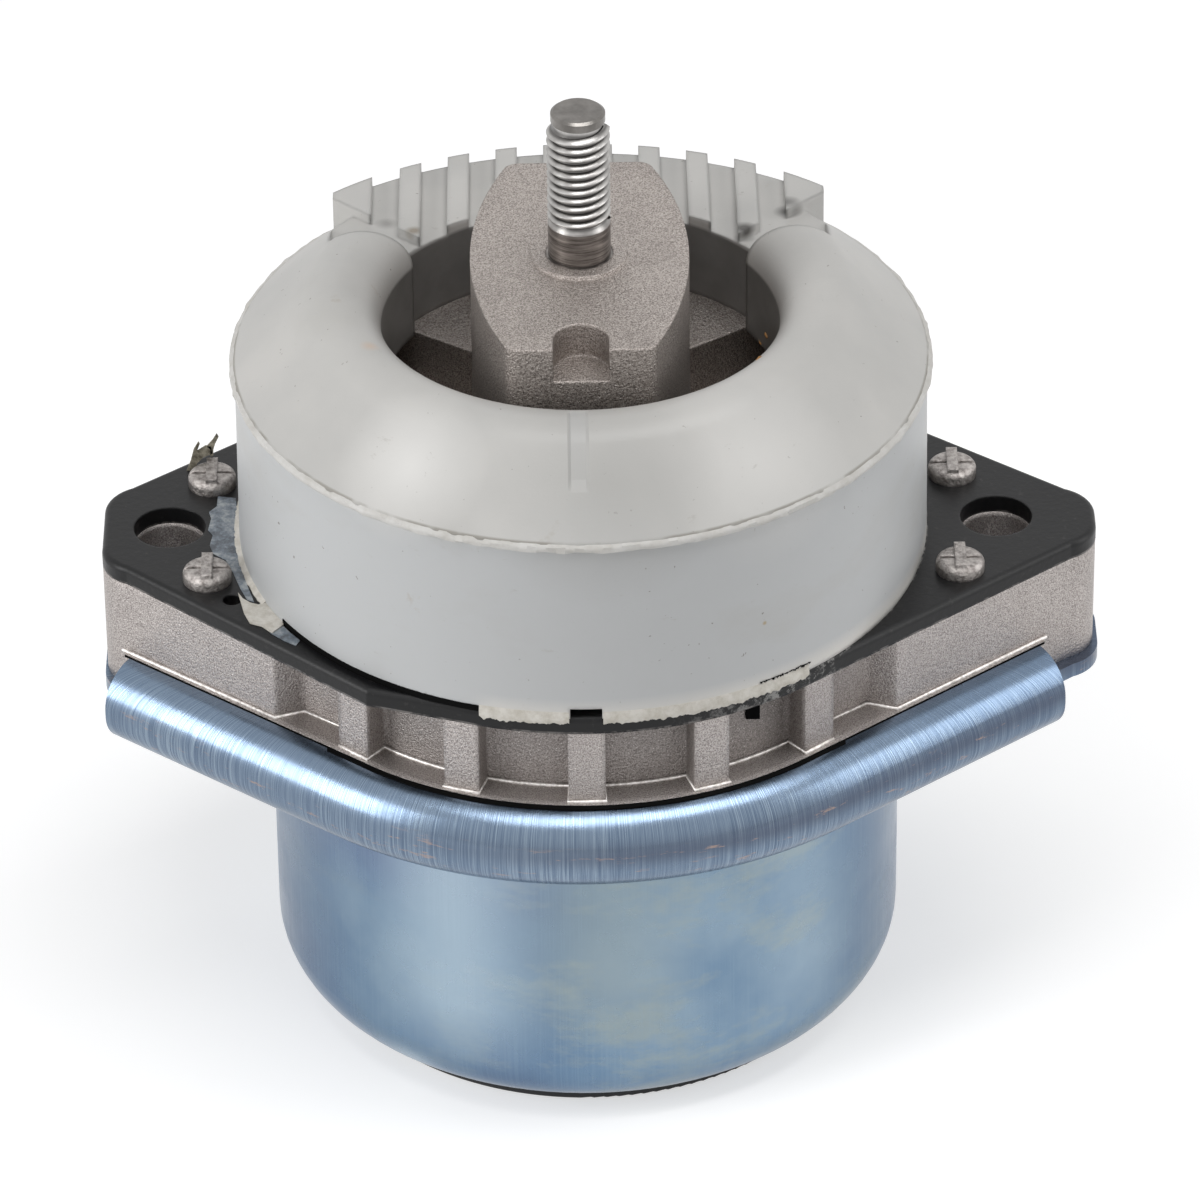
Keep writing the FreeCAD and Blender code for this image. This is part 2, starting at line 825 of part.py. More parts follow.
def bevel_at(x):
    return bevel_y + (x - meet_x) * bevel_slope


rib_spans = [(half - size("stop_end_width"), half)]
for number in range(int(SIZES["stop_rib_pairs"])):
    middle = rib_pitch * (number + 0.5)
    rib_spans.append((middle - rib_width, middle + rib_width))
for number, (left, right) in enumerate(rib_spans):
    bevelled = right.value > meet_x.value
    rib = profile(body, f"rib_{number}", "XY_Plane", [
        (left, bevel_at(left) if bevelled else front),
        (right, bevel_at(right) if bevelled else front),
        (right, back),
        (left, back),
    ], rib_level)
    block_rib = pad(body, rib, ceiling - rib_level)
    mirror(body, [block_rib], ["YZ_Plane"])
outside = profile(body, "rib_ends", "XZ_Plane", box_points(
    back, back + inner, rib_level, ceiling + rib_rise))
revolve(body, outside, "Groove")
throat_x = root_of(inner * inner - front * front)
throat = profile(body, "throat", "XY_Plane", [
    (throat_x, front), (-throat_x, front, inner, 1),
], cushion)
pad(body, throat, ceiling - cushion, "Pocket", reversed_way=True)
trim_above("rib_trim", gap_level + rib_rise)
doc.recompute()

# Vent notch at the foot of the band, front middle.
vent = profile(body, "vent", "XZ_Plane", box_points(
    -size("vent_width") / 2, size("vent_width") / 2, zero, size("vent_height")),
    band_foot - size("vent_depth"))
pad(body, vent, size("vent_depth") * 2, "Pocket", reversed_way=True)

# Core: waisted aluminium block that flares into a round disc with four webs and a cone beneath.
body = new_body("core", cover_top)
core_top = size("core_top")
disc_level = size("disc_level")
disc_radius = size("disc_radius")
disc_low = disc_level - size("disc_thick")
waist = size("core_waist")
waist_level = size("core_waist_level")
tip = size("core_tip")
tip_level = size("core_tip_level")
lower_body = profile(body, "flare", "XZ_Plane", [
    (zero, -tip_level),
    (tip, -tip_level),
    (waist, waist_level),
    (disc_radius, disc_low),
    (disc_radius, disc_level),
    (zero, disc_level),
])
revolve(body, lower_body)
corner_x = size("core_corner")
depth = size("core_depth")
side_round = size("core_side_round")
block = profile(body, "block", "XY_Plane", [
    (corner_x, -depth),
    (corner_x, depth, side_round, 1),
    (-corner_x, depth),
    (-corner_x, -depth, side_round, 1),
], disc_low)
pad(body, block, core_top - disc_low)
pocket_in = size("pocket_inner")
pocket_out = size("pocket_outer")
turn = size("pocket_angle")
pocket_low = disc_level - size("pocket_depth")
side_pocket = profile(body, "side_pocket", "XY_Plane", [
    (pocket_in * cos_of(turn), -pocket_in * sin_of(turn)),
    (pocket_out * cos_of(turn), -pocket_out * sin_of(turn)),
    (pocket_out * cos_of(turn), pocket_out * sin_of(turn), pocket_out, 1),
    (pocket_in * cos_of(turn), pocket_in * sin_of(turn)),
], pocket_low)
cut = pad(body, side_pocket, size("pocket_depth"), "Pocket", reversed_way=True)
mirror(body, [cut], ["YZ_Plane"])
half_notch = size("notch_width") / 2
notch_back = size("notch_back")
notch_mid = notch_back + half_notch
notch = profile(body, "notch", "XY_Plane", [
    (half_notch, -depth - half_notch),
    (half_notch, -notch_mid),
    (zero, -notch_back, half_notch, 1),
    (-half_notch, -notch_mid, half_notch, 1),
    (-half_notch, -depth - half_notch),
], size("notch_front_level"))
pad(body, notch, core_top - size("notch_front_level"), "Pocket", reversed_way=True)
collar = circles(body, "collar", "XY_Plane", [(zero, zero, size("collar_radius"))], core_top)
pad(body, collar, size("collar_rise"))
round_edges(body, size("core_edge_round"), lambda p, e: abs(abs(p.x) - corner_x.value) < 0.01
            and abs(abs(p.y) - depth.value) < 0.01 and p.z > disc_level.value)
stud_radius = size("stud_radius")
press = size("stud_press")
press_radius = size("press_radius")
stud_bore = circles(body, "stud_bore", "XY_Plane", [(zero, zero, press_radius)], core_top - press)
pad(body, stud_bore, press + size("collar_rise"), "Pocket", reversed_way=True)

# Top stud: pressed shank, threaded length, neck and dog point.
body = new_body("top_stud", cover_top + core_top - press)
shank_end = press + size("shank_length")
thread_end = shank_end + size("thread_length")
neck = size("tip_neck")
point = size("tip_radius")
stud_end = thread_end + size("tip_length")
tip_bevel = size("tip_bevel")
stud = profile(body, "section", "XZ_Plane", [
    (zero, zero),
    (press_radius, zero),
    (press_radius, press + size("collar_rise")),
    (stud_radius, press + size("collar_rise")),
    (stud_radius, thread_end - size("thread_bevel")),
    (neck, thread_end),
    (point, thread_end + tip_bevel),
    (point, stud_end - tip_bevel),
    (point - tip_bevel, stud_end),
    (zero, stud_end),
])
revolve(body, stud)

# Main spring: rubber cone bonded between the core and the bore of the casting.
body = new_body("main_spring", flange_top)
core_shift = size("housing_height") + size("cover_thick")
arch = size("spring_arch")
arch_level = size("spring_arch_level")
skin = size("spring_skin")
spring = profile(body, "section", "XZ_Plane", [
    (zero, core_shift - tip_level - skin),
    (tip + skin, core_shift - tip_level - skin),
    (arch, arch_level, arch, -1),
    (bore_low - size("spring_root"), zero, arch, -1),
    (bore_low, zero),
    (bore_top, height),
    (waist + size("spring_top_width"), core_shift + waist_level + size("spring_top_rise"), arch, -1),
    (waist, core_shift + waist_level),
    (tip, core_shift - tip_level),
    (zero, core_shift - tip_level),
])
revolve(body, spring)


def ring_node(label, level, high, inner, outer):
    body = new_body(label, level)
    revolve(body, profile(body, "section", "XZ_Plane", [
        (inner, zero), (outer, zero), (outer, high), (inner, high),
    ]))
    return body


# Spring ring: steel ring that closes the chamber below the casting.
ring_inner = size("ring_inner")
ring_node("spring_ring", ring_low, size("ring_height"), ring_inner, chamber_radius)

# Grid plates with a ring of round windows above and below the membrane.
grid_thick = size("grid_thick")
grid_hole = size("grid_hole")
for label, level in (("upper_grid_plate", upper_grid_low), ("lower_grid_plate", lower_grid_low)):
    body = new_body(label, level)
    pad(body, circles(body, "disc", "XY_Plane", [(zero, zero, chamber_radius)]), grid_thick)
    hole = circles(body, "window", "XY_Plane", [(size("grid_circle"), zero, grid_hole)])
    cut = pad(body, hole, grid_thick, "Pocket", reversed_way=True)
    copies = body.newObject("PartDesign::PolarPattern", f"{label}_windows")
    copies.Originals = [cut]
    copies.Axis = (hole, ["N_Axis"])
    copies.Angle = 360
    copies.Occurrences = 12
    body.Tip = copies
    pad(body, circles(body, "middle", "XY_Plane", [(zero, zero, grid_hole * 2)]), grid_thick,
        "Pocket", reversed_way=True)

# Channel body: thick ring with the damping groove round its rim and a seat for the membrane.
channel_height = size("channel_height")
window = size("window_radius")
membrane_radius = size("membrane_radius")
membrane_thick = size("membrane_thick")
seat = (channel_height - membrane_thick) / 2
groove_low = (channel_height - size("channel_width")) / 2
groove_high = groove_low + size("channel_width")
groove_reach = chamber_radius - size("channel_depth")
body = new_body("channel_body", channel_low)
revolve(body, profile(body, "section", "XZ_Plane", [
    (window, zero),
    (chamber_radius, zero),
    (chamber_radius, groove_low),
    (groove_reach, groove_low),
    (groove_reach, groove_high),
    (chamber_radius, groove_high),
    (chamber_radius, channel_height),
    (window, channel_height),
    (window, seat + membrane_thick),
    (membrane_radius, seat + membrane_thick),
    (membrane_radius, seat),
    (window, seat),
]))
bridge_half = size("bridge_width") / 2
bridge = profile(body, "bridge", "XY_Plane", box_points(
    groove_reach - size("bridge_root"), chamber_radius - size("bridge_gap"), -bridge_half, bridge_half),
    groove_low)
pad(body, bridge, size("channel_width"))

# Decoupler membrane: rubber disc held by its rim in the channel body.
body = new_body("decoupler_membrane", channel_low + seat)
pad(body, circles(body, "disc", "XY_Plane", [(zero, zero, membrane_radius)]), membrane_thick)

# Bellows: thin rubber bag that closes the lower chamber.
body = new_body("bellows", lower_grid_low)
rim = size("bellows_rim")
skin = size("bellows_wall")
outer = size("bellows_outer")
drop_low = size("bellows_drop")
dome = size("bellows_inner")
dome_top = rim * 3
revolve(body, profile(body, "section", "XZ_Plane", [
    (chamber_radius, -rim),
    (chamber_radius, zero),
    (outer - skin, zero),
    (outer - skin, -drop_low + skin * 3),
    (outer - skin * 3, -drop_low + skin, skin * 2, -1),
    (dome + skin * 3, -drop_low + skin),
    (dome + skin, -drop_low + skin * 3, skin * 2, -1),
    (dome, -dome_top),
    (zero, -dome_top),
    (zero, -dome_top - skin),
    (dome - skin, -dome_top - skin),
    (dome - skin / 2, -drop_low + skin * 2),
    (dome + skin * 2, -drop_low - skin / 2, skin * 3, 1),
    (outer - skin * 2, -drop_low - skin / 2),
    (outer, -drop_low + skin * 2, skin * 3, 1),
    (outer, -rim),
]))

# Clamp ring under the bellows rim and the sleeve that carries the stack.
ring_node("bellows_ring", clamp_low, size("clamp_height"), chamber_radius - size("clamp_width"), chamber_radius)
sleeve_low = cup_floor + wall
sleeve_wall = size("sleeve_wall")
sleeve_high = clamp_low - sleeve_low
sleeve_turn = inner_corner - size("cup_clearance")
body = new_body("support_sleeve", sleeve_low)
revolve(body, profile(body, "section", "XZ_Plane", [
    (chamber_radius - sleeve_turn, zero),
    (chamber_radius, sleeve_turn, sleeve_turn, 1),
    (chamber_radius, sleeve_high),
    (chamber_radius - sleeve_wall, sleeve_high),
    (chamber_radius - sleeve_wall, sleeve_turn),
    (chamber_radius - sleeve_turn, sleeve_wall, sleeve_turn - sleeve_wall, -1),
]))

doc.recompute()
for item in doc.Objects:
    if "Invalid" in item.State or "Error" in item.State:
        raise ValueError(f"{item.Label} did not build")

os.makedirs("parts", exist_ok=True)
for body in nodes:
    shape = body.Shape
    if shape.isNull() or not shape.isValid() or len(shape.Solids) != 1:
        raise ValueError(f"{body.Label} is not one sound solid")
    shape.exportStep(f"parts/{body.Label}.step")
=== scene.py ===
import bpy
import math
from mathutils import Matrix, Vector


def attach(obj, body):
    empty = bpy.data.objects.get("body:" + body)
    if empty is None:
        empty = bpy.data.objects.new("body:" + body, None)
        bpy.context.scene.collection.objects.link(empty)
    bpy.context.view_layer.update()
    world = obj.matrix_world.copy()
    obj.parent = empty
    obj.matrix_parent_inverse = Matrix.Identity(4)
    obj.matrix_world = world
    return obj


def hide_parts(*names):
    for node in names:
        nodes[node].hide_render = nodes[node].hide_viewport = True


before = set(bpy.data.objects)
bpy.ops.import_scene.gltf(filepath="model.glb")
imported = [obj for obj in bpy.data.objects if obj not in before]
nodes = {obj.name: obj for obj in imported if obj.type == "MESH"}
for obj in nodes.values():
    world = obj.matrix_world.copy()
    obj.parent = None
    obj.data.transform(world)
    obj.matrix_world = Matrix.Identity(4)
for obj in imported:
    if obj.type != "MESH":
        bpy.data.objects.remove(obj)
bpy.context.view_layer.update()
scene = bpy.context.scene
mm = 0.001


# material helpers
def newMaterial(name):
    mat = bpy.data.materials.new(name)
    mat.use_nodes = True
    tree = mat.node_tree
    tree.nodes.clear()
    out = tree.nodes.new("ShaderNodeOutputMaterial")
    shader = tree.nodes.new("ShaderNodeBsdfPrincipled")
    tree.links.new(shader.outputs["BSDF"], out.inputs["Surface"])
    return mat, tree, shader


def coords(tree, scale=(1, 1, 1), turn=(0, 0, 0)):
    source = tree.nodes.new("ShaderNodeTexCoord")
    mapping = tree.nodes.new("ShaderNodeMapping")
    mapping.inputs["Scale"].default_value = scale
    mapping.inputs["Rotation"].default_value = turn
    tree.links.new(source.outputs["Object"], mapping.inputs["Vector"])
    return mapping.outputs["Vector"]


def noise(tree, scale, detail=3.0, rough=0.55, stretch=(1, 1, 1)):
    node = tree.nodes.new("ShaderNodeTexNoise")
    node.inputs["Scale"].default_value = scale
    node.inputs["Detail"].default_value = detail
    node.inputs["Roughness"].default_value = rough
    tree.links.new(coords(tree, stretch), node.inputs["Vector"])
    return node.outputs["Fac"]


def ramp(tree, value, stops):
    node = tree.nodes.new("ShaderNodeValToRGB")
    band = node.color_ramp
    while len(band.elements) < len(stops):
        band.elements.new(0.5)
    for element, (place, colour) in zip(band.elements, stops):
        element.position = place
        element.color = (*colour, 1) if len(colour) == 3 else colour
    tree.links.new(value, node.inputs["Fac"])
    return node.outputs["Color"]


def spread(tree, value, low, high, newLow=0.0, newHigh=1.0):
    node = tree.nodes.new("ShaderNodeMapRange")
    node.inputs["From Min"].default_value = low
    node.inputs["From Max"].default_value = high
    node.inputs["To Min"].default_value = newLow
    node.inputs["To Max"].default_value = newHigh
    tree.links.new(value, node.inputs["Value"])
    return node.outputs["Result"]


def blendColour(tree, amount, first, second, mode="MIX"):
    node = tree.nodes.new("ShaderNodeMix")
    node.data_type = "RGBA"
    node.blend_type = mode
    for socket, item in ((node.inputs[0], amount), (node.inputs[6], first), (node.inputs[7], second)):
        if isinstance(item, (int, float)):
            socket.default_value = item
        elif isinstance(item, tuple):
            socket.default_value = (*item, 1)
        else:
            tree.links.new(item, socket)
    return node.outputs[2]


def bump(tree, shader, value, strength, distance, under=None):
    node = tree.nodes.new("ShaderNodeBump")
    node.inputs["Strength"].default_value = strength
    node.inputs["Distance"].default_value = distance
    tree.links.new(value, node.inputs["Height"])
    if under:
        tree.links.new(under, node.inputs["Normal"])
    if shader:
        tree.links.new(node.outputs["Normal"], shader.inputs["Normal"])
    return node.outputs["Normal"]


def softEdges(tree, radius):
    node = tree.nodes.new("ShaderNodeBevel")
    node.samples = 4
    node.inputs["Radius"].default_value = radius * mm
    return node.outputs["Normal"]


def axisParts(tree, scale=(1, 1, 1)):
    node = tree.nodes.new("ShaderNodeSeparateXYZ")
    tree.links.new(coords(tree, scale), node.inputs["Vector"])
    return node.outputs["X"], node.outputs["Y"], node.outputs["Z"]


def calc(tree, kind, first, second=0.0):
    node = tree.nodes.new("ShaderNodeMath")
    node.operation = kind
    for socket, item in ((node.inputs[0], first), (node.inputs[1], second)):
        if isinstance(item, (int, float)):
            socket.default_value = item
        else:
            tree.links.new(item, socket)
    return node.outputs["Value"]


def spot(tree, place, radius, soft=0.5):
    node = tree.nodes.new("ShaderNodeVectorMath")
    node.operation = "DISTANCE"
    tree.links.new(coords(tree), node.inputs[0])
    node.inputs[1].default_value = [value * mm for value in place]
    return spread(tree, node.outputs["Value"], radius * (1 - soft) * mm, radius * mm, 1.0, 0.0)


def aroundNoise(tree, aroundScale, heightScale, detail=3.0, rough=0.6):
    x, y, z = axisParts(tree)
    angle = calc(tree, "ARCTAN2", x, calc(tree, "MULTIPLY", y, -1.0))
    combine = tree.nodes.new("ShaderNodeCombineXYZ")
    tree.links.new(calc(tree, "MULTIPLY", angle, aroundScale), combine.inputs["X"])
    tree.links.new(calc(tree, "MULTIPLY", z, heightScale), combine.inputs["Z"])
    node = tree.nodes.new("ShaderNodeTexNoise")
    node.inputs["Scale"].default_value = 1.0
    node.inputs["Detail"].default_value = detail
    node.inputs["Roughness"].default_value = rough
    tree.links.new(combine.outputs["Vector"], node.inputs["Vector"])
    return node.outputs["Fac"]


def box(tree, axis, low, high, soft):
    rise = spread(tree, axis, (low - soft) * mm, low * mm)
    fall = spread(tree, axis, high * mm, (high + soft) * mm, 1.0, 0.0)
    return calc(tree, "MULTIPLY", rise, fall)


def hump(tree, value, middle, width):
    away = calc(tree, "ABSOLUTE", calc(tree, "SUBTRACT", value, middle))
    node = tree.nodes.new("ShaderNodeMapRange")
    node.interpolation_type = "SMOOTHSTEP"
    node.inputs["From Min"].default_value = 0.0
    node.inputs["From Max"].default_value = width
    node.inputs["To Min"].default_value = 1.0
    node.inputs["To Max"].default_value = 0.0
    tree.links.new(away, node.inputs["Value"])
    return node.outputs["Result"]


def turnOf(tree):
    x, y, z = axisParts(tree)
    return calc(tree, "DEGREES", calc(tree, "ARCTAN2", x, calc(tree, "MULTIPLY", y, -1.0)))


def radiusOf(tree):
    x, y, z = axisParts(tree)
    squares = calc(tree, "ADD", calc(tree, "MULTIPLY", x, x), calc(tree, "MULTIPLY", y, y))
    return calc(tree, "SQRT", squares)


def setColour(tree, shader, colour):
    tree.links.new(colour, shader.inputs["Base Color"])


def setShine(shader, rough, metal=0.0, specular=0.5):
    shader.inputs["Roughness"].default_value = rough
    shader.inputs["Metallic"].default_value = metal
    shader.inputs["Specular IOR Level"].default_value = specular


def tonedMaterial(name, scale, detail, rough, stops, shine):
    mat, tree, shader = newMaterial(name)
    setColour(tree, shader, ramp(tree, noise(tree, scale, detail, rough), stops))
    setShine(shader, *shine)
    return mat


# silicone ring
siliconeLook = {
    "light": (0.525, 0.515, 0.495), "dark": (0.465, 0.46, 0.445), "cool": (0.49, 0.50, 0.505),
    "paintedFootHighlight": (0.63, 0.615, 0.585), "gate": (0.45, 0.46, 0.47),
    "smear": (0.42, 0.41, 0.385), "stain": (0.33, 0.26, 0.18), "speck": (0.16, 0.14, 0.12),
    "seamShadowAbove": (0.25, 0.235, 0.205), "under": (0.31, 0.30, 0.285), "scuff": (0.36, 0.34, 0.31),
    "wall": [(0.35, (0.15, 0.146, 0.14)), (0.7, (0.20, 0.196, 0.19))],
}
# painted highlights on the left and right of the slope; painted shade on the front of the slope and of the
# band
siliconePaintedLight = [
    ((-27.0, -41.5, 122.5), 13.0, (0.72, 0.71, 0.69), 0.85),
    ((27.0, -41.5, 122.5), 17.0, (0.68, 0.67, 0.65), 0.7),
    ((3.0, -46.5, 121.0), 19.0, (0.36, 0.355, 0.34), 0.9),
    ((0.0, -55.0, 98.0), 26.0, (0.46, 0.465, 0.47), 0.35),
]
# the first four entries are painted shade in the pits at the feet of the stop's ribs; the last two are stains
siliconePitShadeAndStains = [
    ((26.6, 24.3, 123.5), 2.4, 0.7, (0.07, 0.065, 0.06)),
    ((33.9, 33.4, 121.7), 2.6, 0.7, (0.09, 0.085, 0.08)),
    ((-26.5, 25.0, 123.6), 1.7, 0.7, (0.27, 0.235, 0.19)),
    ((-31.0, 31.0, 121.4), 2.2, 0.8, (0.30, 0.29, 0.28)),
    ((-32.9, -17.0, 128.5), 1.8, 0.9, (0.52, 0.43, 0.36)),
    ((27.97, -47.7, 96.0), 0.5, 0.6, (0.40, 0.33, 0.22)),
]
siliconeMat, tree, shader = newMaterial("greySilicone")
cloud = noise(tree, 40, 4)
base = ramp(tree, cloud, [(0.35, siliconeLook["dark"]), (0.65, siliconeLook["light"])])
x, y, z = axisParts(tree)
lowBand = spread(tree, z, 0.1145, 0.1160, 1.0, 0.0)
base = blendColour(tree, lowBand, base, siliconeLook["cool"])
smear = spread(tree, noise(tree, 26, 5, 0.6, (1, 1, 2.2)), 0.56, 0.72, 0.0, 0.35)
base = blendColour(tree, smear, base, siliconeLook["smear"])
stain = spread(tree, noise(tree, 75, 6, 0.7), 0.66, 0.74, 0.0, 0.45)
base = blendColour(tree, stain, base, siliconeLook["stain"])
speck = spread(tree, noise(tree, 1000, 2), 0.742, 0.765, 0.0, 0.75)
base = blendColour(tree, speck, base, siliconeLook["speck"])
# painted highlight on the flared foot of the ring, on its left side only
paintedFootHighlight = calc(tree, "MULTIPLY", box(tree, z, 83.0, 84.9, 2.4), spread(tree, x, -0.018, -0.014))
base = blendColour(tree, paintedFootHighlight, base, siliconeLook["paintedFootHighlight"])
gate = calc(tree, "MULTIPLY", box(tree, x, -1.8, 0.5, 0.5), box(tree, y, -47.5, -37.5, 1.5))
base = blendColour(tree, calc(tree, "MULTIPLY", gate, 0.35), base, siliconeLook["gate"])
for place, size, colour, amount in siliconePaintedLight:
    paintedLight = calc(tree, "MULTIPLY", spot(tree, place, size, 1.0), amount)
    base = blendColour(tree, paintedLight, base, colour)
for place, radius, soft, colour in siliconePitShadeAndStains:
    base = blendColour(tree, spot(tree, place, radius, soft), base, colour)
# painted shadow line just above the parting seam
seamShadowAbove = calc(tree, "MULTIPLY", box(tree, z, 116.0, 116.25, 0.2),
              spread(tree, noise(tree, 120, 3), 0.40, 0.55, 0.1, 0.8))
base = blendColour(tree, seamShadowAbove, base, siliconeLook["seamShadowAbove"])
# painted shadow line just below the parting seam
under = calc(tree, "MULTIPLY", box(tree, z, 114.55, 114.8, 0.25),
             spread(tree, noise(tree, 90, 3), 0.40, 0.60, 0.0, 0.6))
base = blendColour(tree, under, base, siliconeLook["under"])
scuff = spread(tree, noise(tree, 210, 6, 0.75, (1, 1, 3.0)), 0.64, 0.70, 0.0, 0.35)
base = blendColour(tree, scuff, base, siliconeLook["scuff"])
wall = calc(tree, "MULTIPLY", spread(tree, radiusOf(tree), 0.0341, 0.0344, 1.0, 0.0),
            spread(tree, z, 0.1214, 0.1221, 1.0, 0.0))
wallTone = ramp(tree, noise(tree, 90, 4, 0.6), siliconeLook["wall"])
base = blendColour(tree, wall, base, wallTone)
setColour(tree, shader, base)
setShine(shader, 0.42)
dent = bump(tree, None, calc(tree, "SUBTRACT", 1.0, gate), 0.6, 0.0005, softEdges(tree, 1.2))
bump(tree, shader, noise(tree, 1800, 3), 0.10, 0.0002, dent)

# torn flash of the same silicone, more yellow where it is thin, and other small things
flashMat = tonedMaterial("siliconeFlash", 500, 4, 0.7,
                         [(0.35, (0.50, 0.47, 0.41)), (0.62, (0.66, 0.635, 0.585))], (0.6,))
seamMat = tonedMaterial("siliconeSeam", 300, 4, 0.7,
                        [(0.35, (0.52, 0.505, 0.475)), (0.62, (0.60, 0.59, 0.57))], (0.55,))
filmStops = [(0.36, (0.075, 0.085, 0.10)), (0.5, (0.17, 0.20, 0.235)), (0.66, (0.40, 0.425, 0.44))]
filmMat = tonedMaterial("siliconeFilm", 420, 5, 0.7, filmStops, (0.45,))
oliveMat = tonedMaterial("oliveStrip", 600, 4, 0.7,
                         [(0.4, (0.10, 0.09, 0.065)), (0.62, (0.36, 0.33, 0.26))], (0.6,))
rustMat = tonedMaterial("rustFleck", 900, 3, 0.7,
                        [(0.4, (0.16, 0.075, 0.02)), (0.6, (0.52, 0.27, 0.09))], (0.7,))
darkMat, tree, shader = newMaterial("deepShade")
shader.inputs["Base Color"].default_value = (0.004, 0.004, 0.004, 1)
setShine(shader, 0.9, specular=0.05)

# blasted casting
castLook = {
    "light": (0.525, 0.485, 0.465), "dark": (0.24, 0.215, 0.205), "rough": 0.42, "metal": 0.9,
    "grain": 4600, "recess": (0.0500, 0.0535, 0.72),
}
coreLook = {
    "light": (0.47, 0.425, 0.395), "dark": (0.20, 0.175, 0.16), "rough": 0.44, "metal": 0.9,
    "grain": 4200, "recess": None,
}


def castSurface(name, look, edge):
    mat, tree, shader = newMaterial(name)
    grain = noise(tree, look["grain"], 2, 0.6)
    base = ramp(tree, grain, [(0.38, look["dark"]), (0.58, look["light"])])
    patch = spread(tree, noise(tree, 60, 4, 0.6), 0.45, 0.75, 0.0, 0.30)
    base = blendColour(tree, patch, base, look["dark"])
    # painted shade in the recessed panels, stronger deeper in, to the right and towards the plate
    if look["recess"]:
        low, high, amount = look["recess"]
        x, y, z = axisParts(tree)
        deep = spread(tree, radiusOf(tree), low, high, amount, 0.0)
        rightSide = spread(tree, x, -0.01, 0.035, 0.6, 1.0)
        upward = spread(tree, z, 0.068, 0.0795, 0.6, 1.0)
        deep = calc(tree, "MULTIPLY", deep, calc(tree, "MULTIPLY", rightSide, upward))
        base = blendColour(tree, deep, base, (0.085, 0.077, 0.072))
    sparkle = spread(tree, noise(tree, 5200, 1), 0.68, 0.74, 0.0, 0.8)
    base = blendColour(tree, sparkle, base, (0.85, 0.82, 0.80))
    setColour(tree, shader, base)
    setShine(shader, look["rough"], look["metal"])
    bump(tree, shader, noise(tree, look["grain"] * 0.6, 3, 0.6), 0.6, 0.0004, softEdges(tree, edge))
    return mat


castMat = castSurface("castAluminium", castLook, 1.4)
coreMat = castSurface("coreAluminium", coreLook, 0.6)
# pale metal painted as the highlight on the rounded roots of the casting's walls
rootHighlightMat = tonedMaterial("castRootHighlight", 1500, 3, 0.55,
                       [(0.35, (0.52, 0.49, 0.465)), (0.6, (0.82, 0.79, 0.765))], (0.45, 0.8))

# passivated zinc on the steel cup
zincLook = {
    "deep": (0.105, 0.165, 0.265), "mid": (0.15, 0.235, 0.34), "pale": (0.26, 0.35, 0.43),
    "cloud": (0.30, 0.345, 0.33), "violet": (0.155, 0.165, 0.285), "paintedLight": (0.46, 0.565, 0.64),
    "beadDeep": (0.075, 0.115, 0.185), "beadPale": (0.33, 0.41, 0.49),
    "beadMid": (0.155, 0.21, 0.29), "beadDarkReflection": (0.07, 0.08, 0.115), "scratch": (0.42, 0.30, 0.24),
}
zincMat, tree, shader = newMaterial("blueZinc")
x, y, z = axisParts(tree)
radius = radiusOf(tree)
cloud = noise(tree, 24, 5)
base = ramp(tree, cloud, [(0.30, zincLook["deep"]), (0.5, zincLook["mid"]), (0.72, zincLook["pale"])])
warm = spread(tree, noise(tree, 30, 6, 0.7, (1, 1, 2.4)), 0.50, 0.63, 0.0, 0.6)
warm = calc(tree, "MULTIPLY", warm, spread(tree, x, -0.035, 0.0, 0.25, 1.0))
base = blendColour(tree, warm, base, zincLook["cloud"])
midCloud = calc(tree, "MULTIPLY", hump(tree, turnOf(tree), 2.0, 22.0),
                spread(tree, z, 0.014, 0.028, 0.0, 0.45))
base = blendColour(tree, midCloud, base, zincLook["cloud"])
violet = calc(tree, "MULTIPLY", spread(tree, z, 0.036, 0.055), spread(tree, x, 0.0, -0.03))
base = blendColour(tree, calc(tree, "MULTIPLY", violet, 0.6), base, zincLook["violet"])
turn = turnOf(tree)
upright = calc(tree, "MULTIPLY", spread(tree, z, 0.008, 0.022), spread(tree, z, 0.056, 0.048, 0.35, 1.0))
for middle, width, amount in ((-25.0, 21.0, 0.62), (43.0, 17.0, 0.18)):
    paintedLight = calc(tree, "MULTIPLY", hump(tree, turn, middle, width), calc(tree, "MULTIPLY", upright, amount))
    base = blendColour(tree, paintedLight, base, zincLook["paintedLight"])
lowSheen = calc(tree, "MULTIPLY", hump(tree, turn, -36.0, 9.0), hump(tree, z, 0.0065, 0.0045))
base = blendColour(tree, calc(tree, "MULTIPLY", lowSheen, 0.8), base, zincLook["paintedLight"])
sideTurn = calc(tree, "ABSOLUTE", turn)
edgeShade = calc(tree, "MULTIPLY", spread(tree, sideTurn, 46.0, 75.0, 0.0, 0.6),
                 spread(tree, sideTurn, 95.0, 120.0, 1.0, 0.0))
base = blendColour(tree, edgeShade, base, zincLook["deep"])
# painted shade, darker towards the bottom of the cup
paintedLowShade = spread(tree, z, 0.013, 0.004, 0.0, 0.35)
base = blendColour(tree, paintedLowShade, base, zincLook["deep"])
brushed = aroundNoise(tree, 240, 30)
base = blendColour(tree, spread(tree, brushed, 0.45, 0.7, 0.0, 0.22), base, zincLook["pale"])
bead = calc(tree, "MULTIPLY", spread(tree, radius, 0.0525, 0.0545), spread(tree, z, 0.050, 0.053))
streak = aroundNoise(tree, 330, 60, 4, 0.7)
beadTone = ramp(tree, streak, [
    (0.32, zincLook["beadDeep"]), (0.48, zincLook["beadMid"]), (0.66, zincLook["beadPale"]),
])
beadPatch = spread(tree, noise(tree, 55, 4), 0.4, 0.7, 0.0, 0.6)
beadTone = blendColour(tree, beadPatch, beadTone, zincLook["beadMid"])
